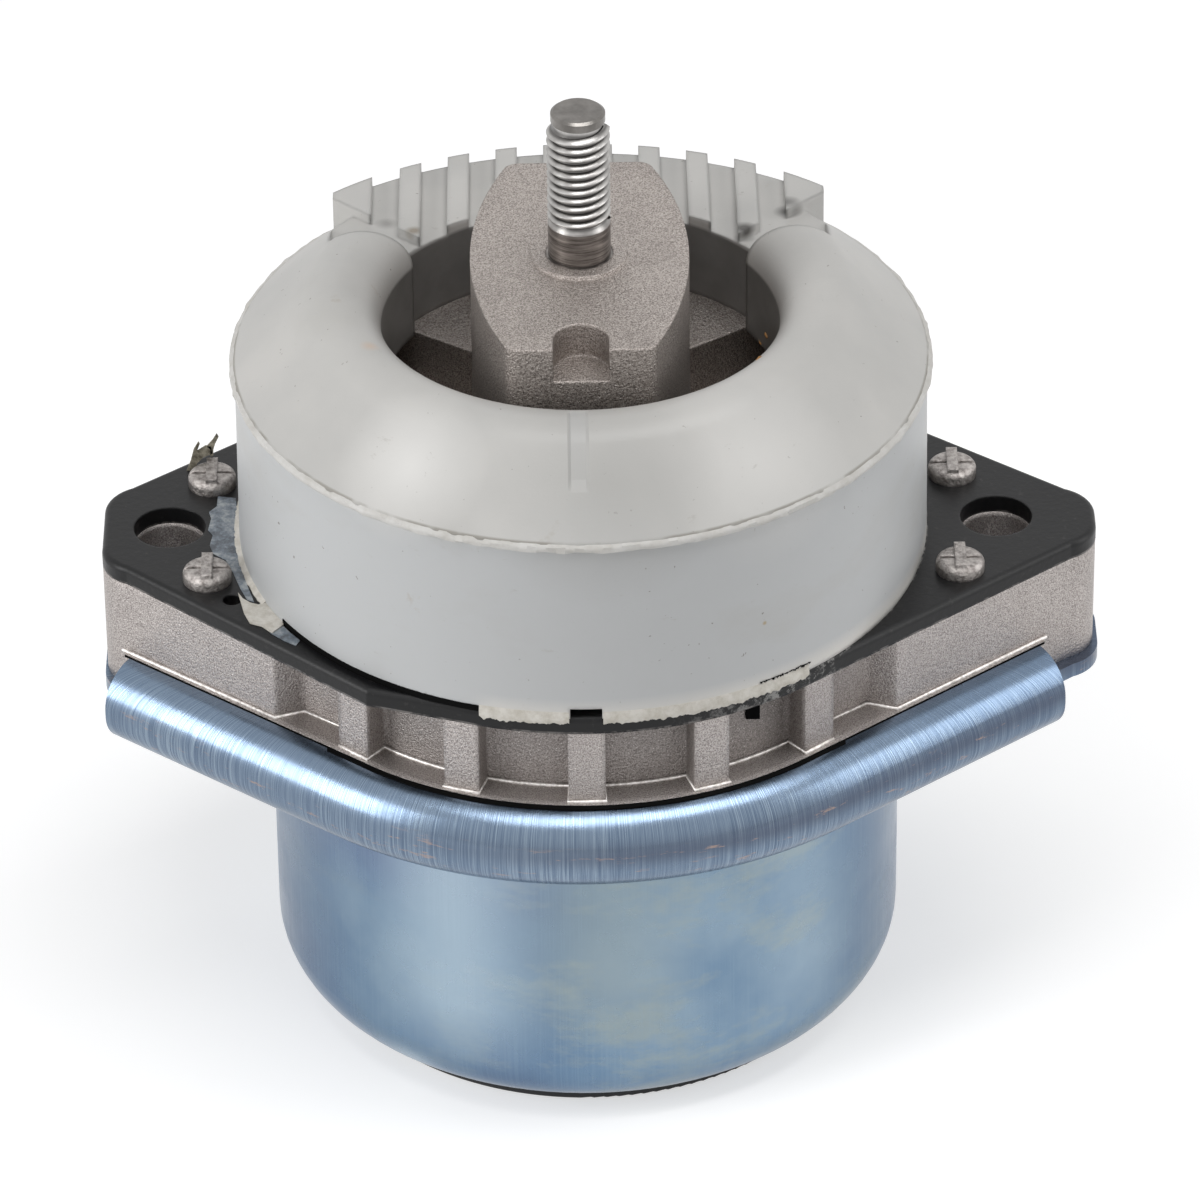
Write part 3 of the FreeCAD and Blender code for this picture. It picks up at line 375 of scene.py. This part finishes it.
# painted shade on the right-hand run of the bead
beadTone = blendColour(tree, spread(tree, x, 0.02, 0.07, 0.0, 0.3), beadTone, zincLook["beadDeep"])
# painted dark reflection band along the middle of the bead, weaker on the left
paintedDarkReflection = calc(tree, "MULTIPLY", hump(tree, z, 0.0612, 0.0034), spread(tree, x, -0.035, 0.01, 0.1, 0.65))
beadTone = blendColour(tree, paintedDarkReflection, beadTone, zincLook["beadDarkReflection"])
scratch = calc(tree, "MULTIPLY", spread(tree, noise(tree, 260, 5, 0.8, (0.35, 1, 3.0)), 0.60, 0.66, 0.0, 0.6),
               box(tree, z, 55.0, 61.0, 2.0))
beadTone = blendColour(tree, scratch, beadTone, zincLook["scratch"])
base = blendColour(tree, bead, base, beadTone)
setColour(tree, shader, base)
shader.inputs["Metallic"].default_value = 1.0
tree.links.new(spread(tree, noise(tree, 90, 4), 0.3, 0.7, 0.20, 0.32), shader.inputs["Roughness"])
fine = bump(tree, None, noise(tree, 700, 3, 0.5, (1, 1, 0.06)), 0.08, 0.0003)
across = calc(tree, "MULTIPLY", streak, bead)
bump(tree, shader, across, 0.10, 0.0002, fine)

# black coat of the cover plate
coatMat, tree, shader = newMaterial("blackCoat")
dust = spread(tree, noise(tree, 700, 4, 0.7), 0.60, 0.75, 0.0, 0.25)
base = blendColour(tree, dust, (0.005, 0.005, 0.0056), (0.075, 0.07, 0.067))
x, y, z = axisParts(tree)
rim = calc(tree, "MULTIPLY", box(tree, radiusOf(tree), 54.7, 55.3, 0.25), spread(tree, x, 0.012, 0.030))
rim = calc(tree, "MULTIPLY", rim, spread(tree, noise(tree, 520, 5, 0.8), 0.50, 0.60, 0.0, 0.75))
base = blendColour(tree, rim, base, (0.36, 0.355, 0.345))
lowRim = calc(tree, "MULTIPLY", box(tree, z, 80.6, 80.95, 0.15),
              spread(tree, noise(tree, 260, 4, 0.7), 0.45, 0.6, 0.0, 0.5))
base = blendColour(tree, lowRim, base, (0.30, 0.28, 0.265))
setColour(tree, shader, base)
setShine(shader, 0.38, specular=0.3)
bump(tree, shader, noise(tree, 900, 3), 0.15, 0.0003, softEdges(tree, 0.5))

# rubber pad and hidden rubber
rubberMat, tree, shader = newMaterial("blackRubber")
shader.inputs["Base Color"].default_value = (0.02, 0.02, 0.021, 1)
setShine(shader, 0.7)
bump(tree, shader, noise(tree, 800, 3), 0.2, 0.0003)

# bright steel of the stud and inner rings
steelMat, tree, shader = newMaterial("brightSteel")
x, y, z = axisParts(tree)
shank = spread(tree, z, 0.1402, 0.1412, 1.0, 0.0)
brushed = noise(tree, 900, 4, 0.6, (0.2, 0.2, 3.0))
shankTone = ramp(tree, brushed, [(0.35, (0.10, 0.09, 0.085)), (0.65, (0.30, 0.28, 0.265))])
thread = ramp(tree, noise(tree, 500, 3), [(0.3, (0.33, 0.32, 0.31)), (0.7, (0.52, 0.51, 0.495))])
# painted shade in the grooves of the thread
grooveShade = calc(tree, "MULTIPLY", spread(tree, radiusOf(tree), 0.00440, 0.00475, 1.0, 0.0),
              calc(tree, "MULTIPLY", spread(tree, z, 0.1405, 0.1412), spread(tree, z, 0.1585, 0.1580)))
thread = blendColour(tree, grooveShade, thread, (0.15, 0.145, 0.14))
point = spread(tree, z, 0.1586, 0.1589)
pointTone = ramp(tree, noise(tree, 420, 3), [(0.3, (0.15, 0.142, 0.133)), (0.7, (0.24, 0.228, 0.215))])
thread = blendColour(tree, point, thread, pointTone)
base = blendColour(tree, shank, thread, shankTone)
setColour(tree, shader, base)
setShine(shader, 0.3, 1.0)
bump(tree, shader, noise(tree, 1200, 3), 0.15, 0.0002)

# satin aluminium of the rivet heads
rivetMat, tree, shader = newMaterial("rivetAluminium")
rivetTone = ramp(tree, noise(tree, 900, 4, 0.7), [(0.35, (0.20, 0.18, 0.17)), (0.6, (0.46, 0.43, 0.41))])
setColour(tree, shader, rivetTone)
setShine(shader, 0.4, 0.9)
bump(tree, shader, noise(tree, 1300, 4, 0.7), 0.6, 0.0005, softEdges(tree, 0.5))

nodeLooks = {
    "base_pad": rubberMat, "lower_cup": zincMat, "housing": castMat, "cover_plate": coatMat,
    "silicone_buffer": siliconeMat, "core": coreMat, "top_stud": steelMat, "main_spring": rubberMat,
    "spring_ring": steelMat, "upper_grid_plate": rivetMat, "lower_grid_plate": rivetMat,
    "channel_body": rivetMat, "decoupler_membrane": rubberMat, "bellows": rubberMat,
    "bellows_ring": steelMat, "support_sleeve": steelMat,
}
for name, node in nodes.items():
    look = nodeLooks.get(name, rivetMat)
    node.data.materials.clear()
    node.data.materials.append(look)
print("materials given to", len(nodes), "nodes")


# modelling helpers
def deselectAll():
    if bpy.context.object and bpy.context.object.mode != "OBJECT":
        bpy.ops.object.mode_set(mode="OBJECT")
    bpy.ops.object.select_all(action="DESELECT")


def drawOutline(name, points, closed=False):
    deselectAll()
    bpy.ops.mesh.primitive_plane_add(size=0.001, location=(0, 0, 0))
    piece = bpy.context.object
    piece.name = name
    bpy.ops.object.mode_set(mode="EDIT")
    bpy.ops.mesh.select_all(action="SELECT")
    bpy.ops.mesh.merge(type="CENTER")
    bpy.ops.transform.translate(value=points[0])
    for before, after in zip(points, points[1:]):
        step = [new - old for old, new in zip(before, after)]
        bpy.ops.mesh.extrude_region_move(TRANSFORM_OT_translate={"value": step})
    if closed:
        bpy.ops.mesh.select_all(action="SELECT")
        bpy.ops.mesh.edge_face_add()
    bpy.ops.object.mode_set(mode="OBJECT")
    return piece


def closeUp(weld=None):
    bpy.ops.mesh.select_all(action="SELECT")
    if weld:
        bpy.ops.mesh.remove_doubles(threshold=weld)
    bpy.ops.mesh.normals_make_consistent(inside=False)
    bpy.ops.object.mode_set(mode="OBJECT")


def spinOutline(piece, steps, angle=math.tau, weld=0.00001):
    bpy.ops.object.mode_set(mode="EDIT")
    bpy.ops.mesh.select_all(action="SELECT")
    bpy.ops.mesh.spin(steps=steps, angle=angle, center=(0, 0, 0), axis=(0, 0, 1))
    closeUp(weld)


def thickPatch(name, points, push):
    patch = drawOutline(name, points, closed=True)
    bpy.ops.object.mode_set(mode="EDIT")
    bpy.ops.mesh.select_all(action="SELECT")
    bpy.ops.mesh.extrude_region_move(TRANSFORM_OT_translate={"value": push})
    closeUp()
    return patch


def flatPatch(name, points, level, thick):
    return thickPatch(name, [(x * mm, y * mm, level * mm) for x, y in points], (0, 0, thick * mm))


def standingPatch(name, points, depth, thick):
    return thickPatch(name, [(x * mm, depth * mm, z * mm) for x, z in points], (0, thick * mm, 0))


def finishPiece(piece, mat, smooth=35):
    deselectAll()
    piece.select_set(True)
    bpy.context.view_layer.objects.active = piece
    bpy.ops.object.transform_apply(location=True, rotation=True, scale=True)
    bpy.ops.object.shade_smooth_by_angle(angle=math.radians(smooth))
    piece.data.materials.clear()
    piece.data.materials.append(mat)
    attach(piece, "root")


def joinPieces(first, others):
    deselectAll()
    for piece in [first] + others:
        piece.select_set(True)
    bpy.context.view_layer.objects.active = first
    bpy.ops.object.join()
    return first


def roundPoints(angle, pairs):
    turn = math.radians(angle)
    return [(r * math.sin(turn) * mm, -r * math.cos(turn) * mm, z * mm) for r, z in pairs]


def pickVerts(piece, test):
    bpy.ops.object.mode_set(mode="EDIT")
    bpy.ops.mesh.select_mode(type="VERT")
    bpy.ops.mesh.select_all(action="DESELECT")
    bpy.ops.object.mode_set(mode="OBJECT")
    for vertex in piece.data.vertices:
        vertex.select = test(vertex.co)
    bpy.ops.object.mode_set(mode="EDIT")


def arcStrip(name, start, stop, pairs, steps):
    strip = drawOutline(name, roundPoints(stop, pairs), closed=True)
    spinOutline(strip, steps, math.radians(stop - start), 0.000002)
    return strip


def roughen(piece, test, offset, seed):
    pickVerts(piece, test)
    bpy.ops.transform.vertex_random(offset=offset * mm, seed=seed)
    bpy.ops.object.mode_set(mode="OBJECT")


def tearEdge(piece, test, height, grain):
    pickVerts(piece, test)
    bpy.ops.object.mode_set(mode="OBJECT")
    group = piece.vertex_groups.new(name="edge")
    group.add([vertex.index for vertex in piece.data.vertices if vertex.select], 1.0, "REPLACE")
    cloudy = bpy.data.textures.new(piece.name + "Tear", "CLOUDS")
    cloudy.noise_scale = grain * mm
    cloudy.noise_depth = 3
    tear = piece.modifiers.new("tear", "DISPLACE")
    tear.texture = cloudy
    tear.texture_coords = "LOCAL"
    tear.direction = "Z"
    tear.mid_level = 0.5
    tear.strength = height * mm
    tear.vertex_group = "edge"
    bpy.context.view_layer.objects.active = piece
    bpy.ops.object.modifier_apply(modifier="tear")


# stud: turned blank with a helical tooth wound round it
studShape = {
    "pressed": 5.25, "root": 4.22, "crest": 4.98, "shank": 4.95, "pitch": 1.5,
    "bottom": 110.3, "seat": 134.6, "threadLow": 141.0, "threadHigh": 157.6,
    "neck": 3.9, "point": 4.3, "top": 160.55,
}
shape = studShape
blank = drawOutline("studBlank", [(r * mm, 0, z * mm) for r, z in (
    (0, shape["bottom"]), (shape["pressed"], shape["bottom"]), (shape["pressed"], shape["seat"]),
    (shape["shank"], shape["seat"]), (shape["shank"], shape["threadLow"] - 0.5),
    (shape["root"], shape["threadLow"] + 0.4), (shape["root"], shape["threadHigh"] - 0.2),
    (shape["neck"], shape["threadHigh"] + 0.5), (shape["neck"], shape["threadHigh"] + 1.1),
    (shape["point"], shape["threadHigh"] + 1.3), (shape["point"], shape["top"] - 0.35),
    (shape["point"] - 0.45, shape["top"]), (0, shape["top"]),
)])
spinOutline(blank, 64)
half = shape["pitch"] / 2
tooth = drawOutline("studTooth", [(r * mm, 0, (shape["threadLow"] + z) * mm) for r, z in (
    (shape["root"] - 0.15, -half * 0.93), (shape["root"] + 0.12, -half * 0.80),
    (shape["crest"] - 0.10, -half * 0.26), (shape["crest"], -half * 0.10), (shape["crest"], half * 0.10),
    (shape["crest"] - 0.10, half * 0.26), (shape["root"] + 0.12, half * 0.80),
    (shape["root"] - 0.15, half * 0.93),
)], closed=True)
turns = round((shape["threadHigh"] - shape["threadLow"]) / shape["pitch"])
screw = tooth.modifiers.new("winding", "SCREW")
screw.axis = "Z"
screw.angle = math.tau
screw.screw_offset = shape["pitch"] * mm
screw.iterations = turns
screw.steps = 56
screw.render_steps = 56
screw.use_smooth_shade = True
bpy.context.view_layer.objects.active = tooth
bpy.ops.object.modifier_apply(modifier="winding")
bpy.ops.object.mode_set(mode="EDIT")
bpy.ops.mesh.select_all(action="SELECT")
bpy.ops.mesh.remove_doubles(threshold=0.000002)
bpy.ops.mesh.normals_make_consistent(inside=False)
bpy.ops.object.mode_set(mode="OBJECT")
stud = joinPieces(blank, [tooth])
stud.name = "threadedStud"
finishPiece(stud, steelMat, 30)
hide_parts("top_stud")
print("stud threaded with", turns, "turns")


# flash that the ring's mould left
flashShape = {
    "plate": 83.7, "inner": 55.14, "outer": 55.5, "low": 82.7, "high": 84.5, "ragged": 1.3,
    "arcs": [(-17.5, -2.75, 60), (2.75, 30.5, 120), (30.5, 39.2, 40)],
    "seamLow": 114.95, "seamHigh": 115.9, "seamOut": 55.85, "seamRagged": 0.22,
    "lipArc": (-104.0, -66.0, 50), "lipOut": 56.1,
    "gapArc": (-59.5, -17.6, 90), "gapLow": 83.72, "gapHigh": 84.75,
}
shape = flashShape
strips = []
for number, (start, stop, steps) in enumerate(shape["arcs"]):
    strip = arcStrip("footFlash%d" % number, start, stop, [
        (shape["inner"], shape["low"]), (shape["outer"] - 0.08, shape["low"]),
        (shape["outer"], shape["low"] + 0.45), (shape["outer"] - 0.05, shape["high"] - 0.8),
        (shape["inner"] + 0.16, shape["high"] + 0.4), (shape["inner"], shape["high"] + 0.4),
    ], steps)
    tearEdge(strip, lambda place: place.z < (shape["low"] + 0.1) * mm, shape["ragged"], 0.9)
    strips.append(strip)
footFlash = joinPieces(strips[0], strips[1:])
footFlash.name = "footFlash"
finishPiece(footFlash, flashMat, 40)

lip = arcStrip("footLip", *shape["lipArc"][:2], [
    (shape["inner"], shape["plate"] + 0.02), (shape["lipOut"], shape["plate"] + 0.02),
    (shape["lipOut"], shape["plate"] + 0.22), (shape["inner"], shape["plate"] + 0.75),
], shape["lipArc"][2])
roughen(lip, lambda place: place.xy.length > (shape["lipOut"] - 0.1) * mm, 0.22, 8)
finishPiece(lip, flashMat, 40)

# near-black strip painted as the shade in the gap between the ring's foot and the plate
gap = arcStrip("footGapShade", *shape["gapArc"][:2], [
    (shape["inner"], shape["gapLow"]), (shape["outer"] - 0.1, shape["gapLow"]),
    (shape["outer"] - 0.1, shape["gapHigh"]), (shape["inner"], shape["gapHigh"]),
], shape["gapArc"][2])
roughen(gap, lambda place: place.z > (shape["gapHigh"] - 0.1) * mm, 0.06, 5)
finishPiece(gap, darkMat, 40)

# near-black strip painted as the shade in the tear along the top of the flash
tear = arcStrip("tearLineShade", 29.5, 39.4, [
    (shape["inner"], shape["high"] + 0.55), (shape["outer"] - 0.12, shape["high"] + 0.55),
    (shape["outer"] - 0.12, shape["high"] + 0.68), (shape["inner"], shape["high"] + 0.68),
], 90)
roughen(tear, lambda place: place.xy.length > (shape["outer"] - 0.2) * mm, 0.34, 11)
finishPiece(tear, darkMat, 40)

seam = arcStrip("partingSeam", -180, 180, [
    (54.9, shape["seamLow"] - 0.3), (shape["seamOut"] - 0.15, shape["seamLow"]),
    (shape["seamOut"], (shape["seamLow"] + shape["seamHigh"]) / 2),
    (shape["seamOut"] - 0.15, shape["seamHigh"]),
    (54.9, shape["seamHigh"] + 0.3),
], 240)
roughen(seam, lambda place: place.xy.length > 55.3 * mm, shape["seamRagged"], 21)
finishPiece(seam, seamMat, 60)

filmPatches = {
    "filmLeft": [
        (-59, 8.7), (-56.1, 8.1), (-55.6, 1.6), (-55.4, -5.6), (-54.9, -10.5), (-53.6, -17.1), (-52.4, -21.9),
        (-53.5, -21.3), (-54.7, -17.9), (-56, -13.3), (-57.2, -9.9), (-59.3, -7.8), (-59.9, -5.5),
        (-59.5, -2.6), (-60.3, -1.1), (-59.9, 2.3), (-60.3, 4.1), (-59.1, 5.8),
    ],
    "filmFront": [
        (-48.2, -27.7), (-46.5, -30.6), (-44.9, -32.8), (-45.5, -34.2), (-47.4, -32.8), (-49.7, -30.5),
    ],
}
for name, points in filmPatches.items():
    film = flatPatch(name, points, 83.71, 0.12)
    finishPiece(film, filmMat, 30)
flap = flatPatch("tornFlap", [
    (-55, -19.4), (-54.2, -21.1), (-53, -22.3), (-51.7, -22.9), (-49.4, -21.8), (-47.6, -25.2),
    (-47.6, -28.6), (-49.3, -30.8), (-51, -28.8), (-52.9, -27.9), (-53.9, -25.1), (-54.4, -22.5),
], 83.75, 0.3)
finishPiece(flap, flashMat, 30)


peel = standingPatch("peeledStrip", [
    (-64.3, 83.7), (-63.6, 85.5), (-63.0, 87.8), (-62.2, 89.2), (-62.0, 88.8), (-62.5, 87.4), (-61.1, 88.4),
    (-60.2, 88.3), (-60.0, 86.9), (-61.5, 86.2), (-62.6, 85.0), (-63.0, 83.7),
], 16.6, 0.3)
spike = standingPatch("peeledSpike", [
    (-60.9, 88.3), (-60.4, 88.9), (-59.9, 89.5), (-59.2, 90.7), (-58.9, 90.1), (-59.5, 88.8), (-59.8, 87.8),
    (-59.9, 86.4), (-60.4, 86.4), (-60.3, 87.7),
], 16.6, 0.3)
peel = joinPieces(peel, [spike])
finishPiece(peel, oliveMat, 30)

# near-black patch painted as the shade inside the slot in the casting's front
slotShade = standingPatch("castingSlotShade", [(25.1, 75.2), (27.3, 75.2), (27.3, 77.6), (25.1, 77.6)], -43.9, 1.2)
finishPiece(slotShade, darkMat, 30)

flecks = []
for number, (place, length, turn) in enumerate([
    ((-30.2, -17.6, 127.2), 1.8, 0.9), ((27.7, -20.0, 127.1), 1.2, -0.8), ((28.9, 13.0, 109.2), 1.4, 0.4),
    ((29.75, 10.6, 112.0), 1.5, 0.2),
]):
    bpy.ops.mesh.primitive_ico_sphere_add(
        subdivisions=2, radius=0.5 * mm, location=[v * mm for v in place],
        rotation=(0.3, 0.2, turn), scale=(0.45, length, 0.5),
    )
    fleck = bpy.context.object
    roughen(fleck, lambda place: True, 0.12, 30 + number)
    flecks.append(fleck)
fleck = joinPieces(flecks[0], flecks[1:])
fleck.name = "rustFlecks"
finishPiece(fleck, rustMat, 30)
print("flash, seam, films and flecks placed")

# foot ledge of the casting, the painted shadow below it and the root line of its walls, coloured pale as a
# painted highlight
ledgeShape = {
    "flange": 67.2, "outline": 54.6, "panel": 50.3, "reach": 55.45, "shade": 56.45, "slope": 38.5,
    "pitch": 21.1, "ribHalf": 3.04, "flank": 44.6, "block": 49.3, "tip": 74.0, "shadeTip": 41.0,
    "rootOut": 1.004, "rootUp": 0.3, "rootRound": 0.34,
}
shape = ledgeShape


def runPoint(radius, x):
    slope = math.radians(shape["slope"])
    return (x, -(radius - abs(x) * math.sin(slope)) / math.cos(slope))


def sweepPoints(radius, tip):
    turns = [turn / 2 for turn in range(-int(shape["slope"] * 2), int(shape["slope"] * 2) + 1)]
    arc = [(radius * math.sin(math.radians(turn)), -radius * math.cos(math.radians(turn))) for turn in turns]
    return [runPoint(radius, -tip)] + arc + [runPoint(radius, tip)]


ledge = flatPatch("castingLedge", sweepPoints(shape["reach"], shape["tip"])
                  + sweepPoints(49.5, shape["tip"])[::-1], shape["flange"] + 0.02, 0.14)
finishPiece(ledge, castMat, 30)
# near-black strips painted as the shadow of the ledge on the bead and in the gap below it
shadeBack = sweepPoints(shape["reach"] - 0.5, shape["shadeTip"])[::-1]
shadeStrip = flatPatch("jointShade", sweepPoints(shape["shade"], shape["shadeTip"]) + shadeBack,
                       shape["flange"] - 0.2, 0.2)
thinStrip = flatPatch("jointShadeThin", sweepPoints(shape["reach"] + 0.35, shape["tip"])
                      + sweepPoints(shape["reach"] - 0.5, shape["tip"])[::-1], shape["flange"] - 0.1, 0.11)
shadeStrip = joinPieces(shadeStrip, [thinStrip])
finishPiece(shadeStrip, darkMat, 30)


def wallPath():
    outline, panel = shape["outline"], shape["panel"]
    gap = shape["pitch"] - 2 * shape["ribHalf"]
    places = []
    for rib in range(3):
        middle = shape["pitch"] * rib
        first, last = middle - shape["ribHalf"], middle + shape["ribHalf"]
        if rib:
            places += [(panel, first), (outline, first)]
        places += [(outline, middle), (outline, last), (panel, last)]
        if rib < 2:
            places += [(panel, last + gap * part / 5) for part in range(1, 5)]
    points = [(r * math.sin(math.radians(turn)), -r * math.cos(math.radians(turn))) for r, turn in places]
    points += [runPoint(panel, shape["flank"]), runPoint(outline, shape["block"])]
    points.append(runPoint(outline, shape["tip"]))
    return [(-x, y) for x, y in points[::-1]] + points


# thin rounded root along the foot of the walls, coloured pale as a painted highlight
rootScale = shape["rootOut"] * mm
rootLevel = (shape["flange"] + shape["rootUp"]) * mm
rootLine = drawOutline("rootLine", [(x * rootScale, y * rootScale, rootLevel) for x, y in wallPath()])
deselectAll()
rootLine.select_set(True)
bpy.context.view_layer.objects.active = rootLine
bpy.ops.object.convert(target="CURVE")
rootLine.data.bevel_depth = shape["rootRound"] * mm
rootLine.data.bevel_resolution = 2
rootLine.data.use_fill_caps = True
bpy.ops.object.convert(target="MESH")
finishPiece(rootLine, rootHighlightMat, 60)
print("ledge of the casting placed")


# camera, light and floor
cameraPlace = {
    "elevation": 34.23, "roll": 0.665, "azimuth": -0.258, "distance": 1.3,
    "lens": 240.67, "target": (0.002595, 0.0, 0.068381),
}
elevation = math.radians(cameraPlace["elevation"])
azimuth = math.radians(cameraPlace["azimuth"])
roll = math.radians(cameraPlace["roll"])
back = Vector((
    math.sin(azimuth) * math.cos(elevation),
    -math.cos(azimuth) * math.cos(elevation),
    math.sin(elevation),
))
right = Vector((math.cos(azimuth), math.sin(azimuth), 0))
up = back.cross(right)
rightTurned = right * math.cos(roll) - up * math.sin(roll)
upTurned = right * math.sin(roll) + up * math.cos(roll)
place = Vector(cameraPlace["target"]) + back * cameraPlace["distance"]
cameraData = bpy.data.cameras.new("camera")
cameraData.lens = cameraPlace["lens"]
cameraData.sensor_width = 36
cameraData.clip_end = 20
camera = bpy.data.objects.new("camera", cameraData)
scene.collection.objects.link(camera)
turn = Matrix((rightTurned, upTurned, back)).transposed().to_4x4()
camera.matrix_world = Matrix.Translation(place) @ turn
scene.camera = camera
scene.view_settings.view_transform = "Standard"


def areaLight(name, place, aim, size, power):
    data = bpy.data.lights.new(name, "AREA")
    data.shape = "RECTANGLE"
    data.size, data.size_y = size
    data.energy = power
    lamp = bpy.data.objects.new(name, data)
    scene.collection.objects.link(lamp)
    lamp.location = place
    lamp.rotation_euler = (Vector(aim) - Vector(place)).to_track_quat("-Z", "Y").to_euler()


lightPlan = [
    ("topBox", (0.12, -0.22, 1.15), (0, 0, 0.08), (1.0, 0.42), 6.3),
    ("leftBox", (-1.05, -0.45, 0.5), (0, 0, 0.08), (0.5, 0.8), 7.4),
    ("rightBox", (1.05, -0.1, 0.5), (0, 0, 0.08), (0.5, 0.8), 3.4),
]
for item in lightPlan:
    areaLight(*item)
studioLook = {
    "seen": 1.0, "fill": 0.24,
    "floorColour": 0.97, "floorShade": 0.62, "floorGlow": 0.55, "floorReach": 6.0,
}
world = bpy.data.worlds.new("studio")
scene.world = world
world.use_nodes = True
tree = world.node_tree
tree.nodes.clear()
worldOut = tree.nodes.new("ShaderNodeOutputWorld")
seen = tree.nodes.new("ShaderNodeBackground")
seen.inputs["Color"].default_value = (1, 1, 1, 1)
seen.inputs["Strength"].default_value = studioLook["seen"]
fill = tree.nodes.new("ShaderNodeBackground")
fill.inputs["Color"].default_value = (1, 1, 1, 1)
fill.inputs["Strength"].default_value = studioLook["fill"]


def straightRays(tree):
    path = tree.nodes.new("ShaderNodeLightPath")
    straight = calc(tree, "MAXIMUM", path.outputs["Is Camera Ray"], path.outputs["Is Glossy Ray"])
    return calc(tree, "MAXIMUM", straight, path.outputs["Is Transmission Ray"])


mixer = tree.nodes.new("ShaderNodeMixShader")
tree.links.new(straightRays(tree), mixer.inputs["Fac"])
tree.links.new(fill.outputs["Background"], mixer.inputs[1])
tree.links.new(seen.outputs["Background"], mixer.inputs[2])
tree.links.new(mixer.outputs["Shader"], worldOut.inputs["Surface"])

floorMesh = bpy.data.meshes.new("floor")
reach = studioLook["floorReach"]
floorMesh.from_pydata(
    [(-reach, -reach, 0), (reach, -reach, 0), (reach, reach, 0), (-reach, reach, 0)], [], [(0, 1, 2, 3)]
)
floor = bpy.data.objects.new("floor", floorMesh)
scene.collection.objects.link(floor)
floorMat, tree, shader = newMaterial("paleFloor")
shader.inputs["Base Color"].default_value = (*[studioLook["floorColour"]] * 3, 1)
setShine(shader, 1.0, specular=0.0)
shade = tree.nodes.new("ShaderNodeBsdfDiffuse")
shade.inputs["Color"].default_value = (*[studioLook["floorShade"]] * 3, 1)
glow = tree.nodes.new("ShaderNodeEmission")
glow.inputs["Strength"].default_value = studioLook["floorGlow"]
both = tree.nodes.new("ShaderNodeAddShader")
tree.links.new(shade.outputs["BSDF"], both.inputs[0])
tree.links.new(glow.outputs["Emission"], both.inputs[1])
mixer = tree.nodes.new("ShaderNodeMixShader")
tree.links.new(straightRays(tree), mixer.inputs["Fac"])
tree.links.new(shader.outputs["BSDF"], mixer.inputs[1])
tree.links.new(both.outputs["Shader"], mixer.inputs[2])
tree.links.new(mixer.outputs["Shader"], tree.nodes["Material Output"].inputs["Surface"])
floorMesh.materials.append(floorMat)
print("camera, lights and floor placed")
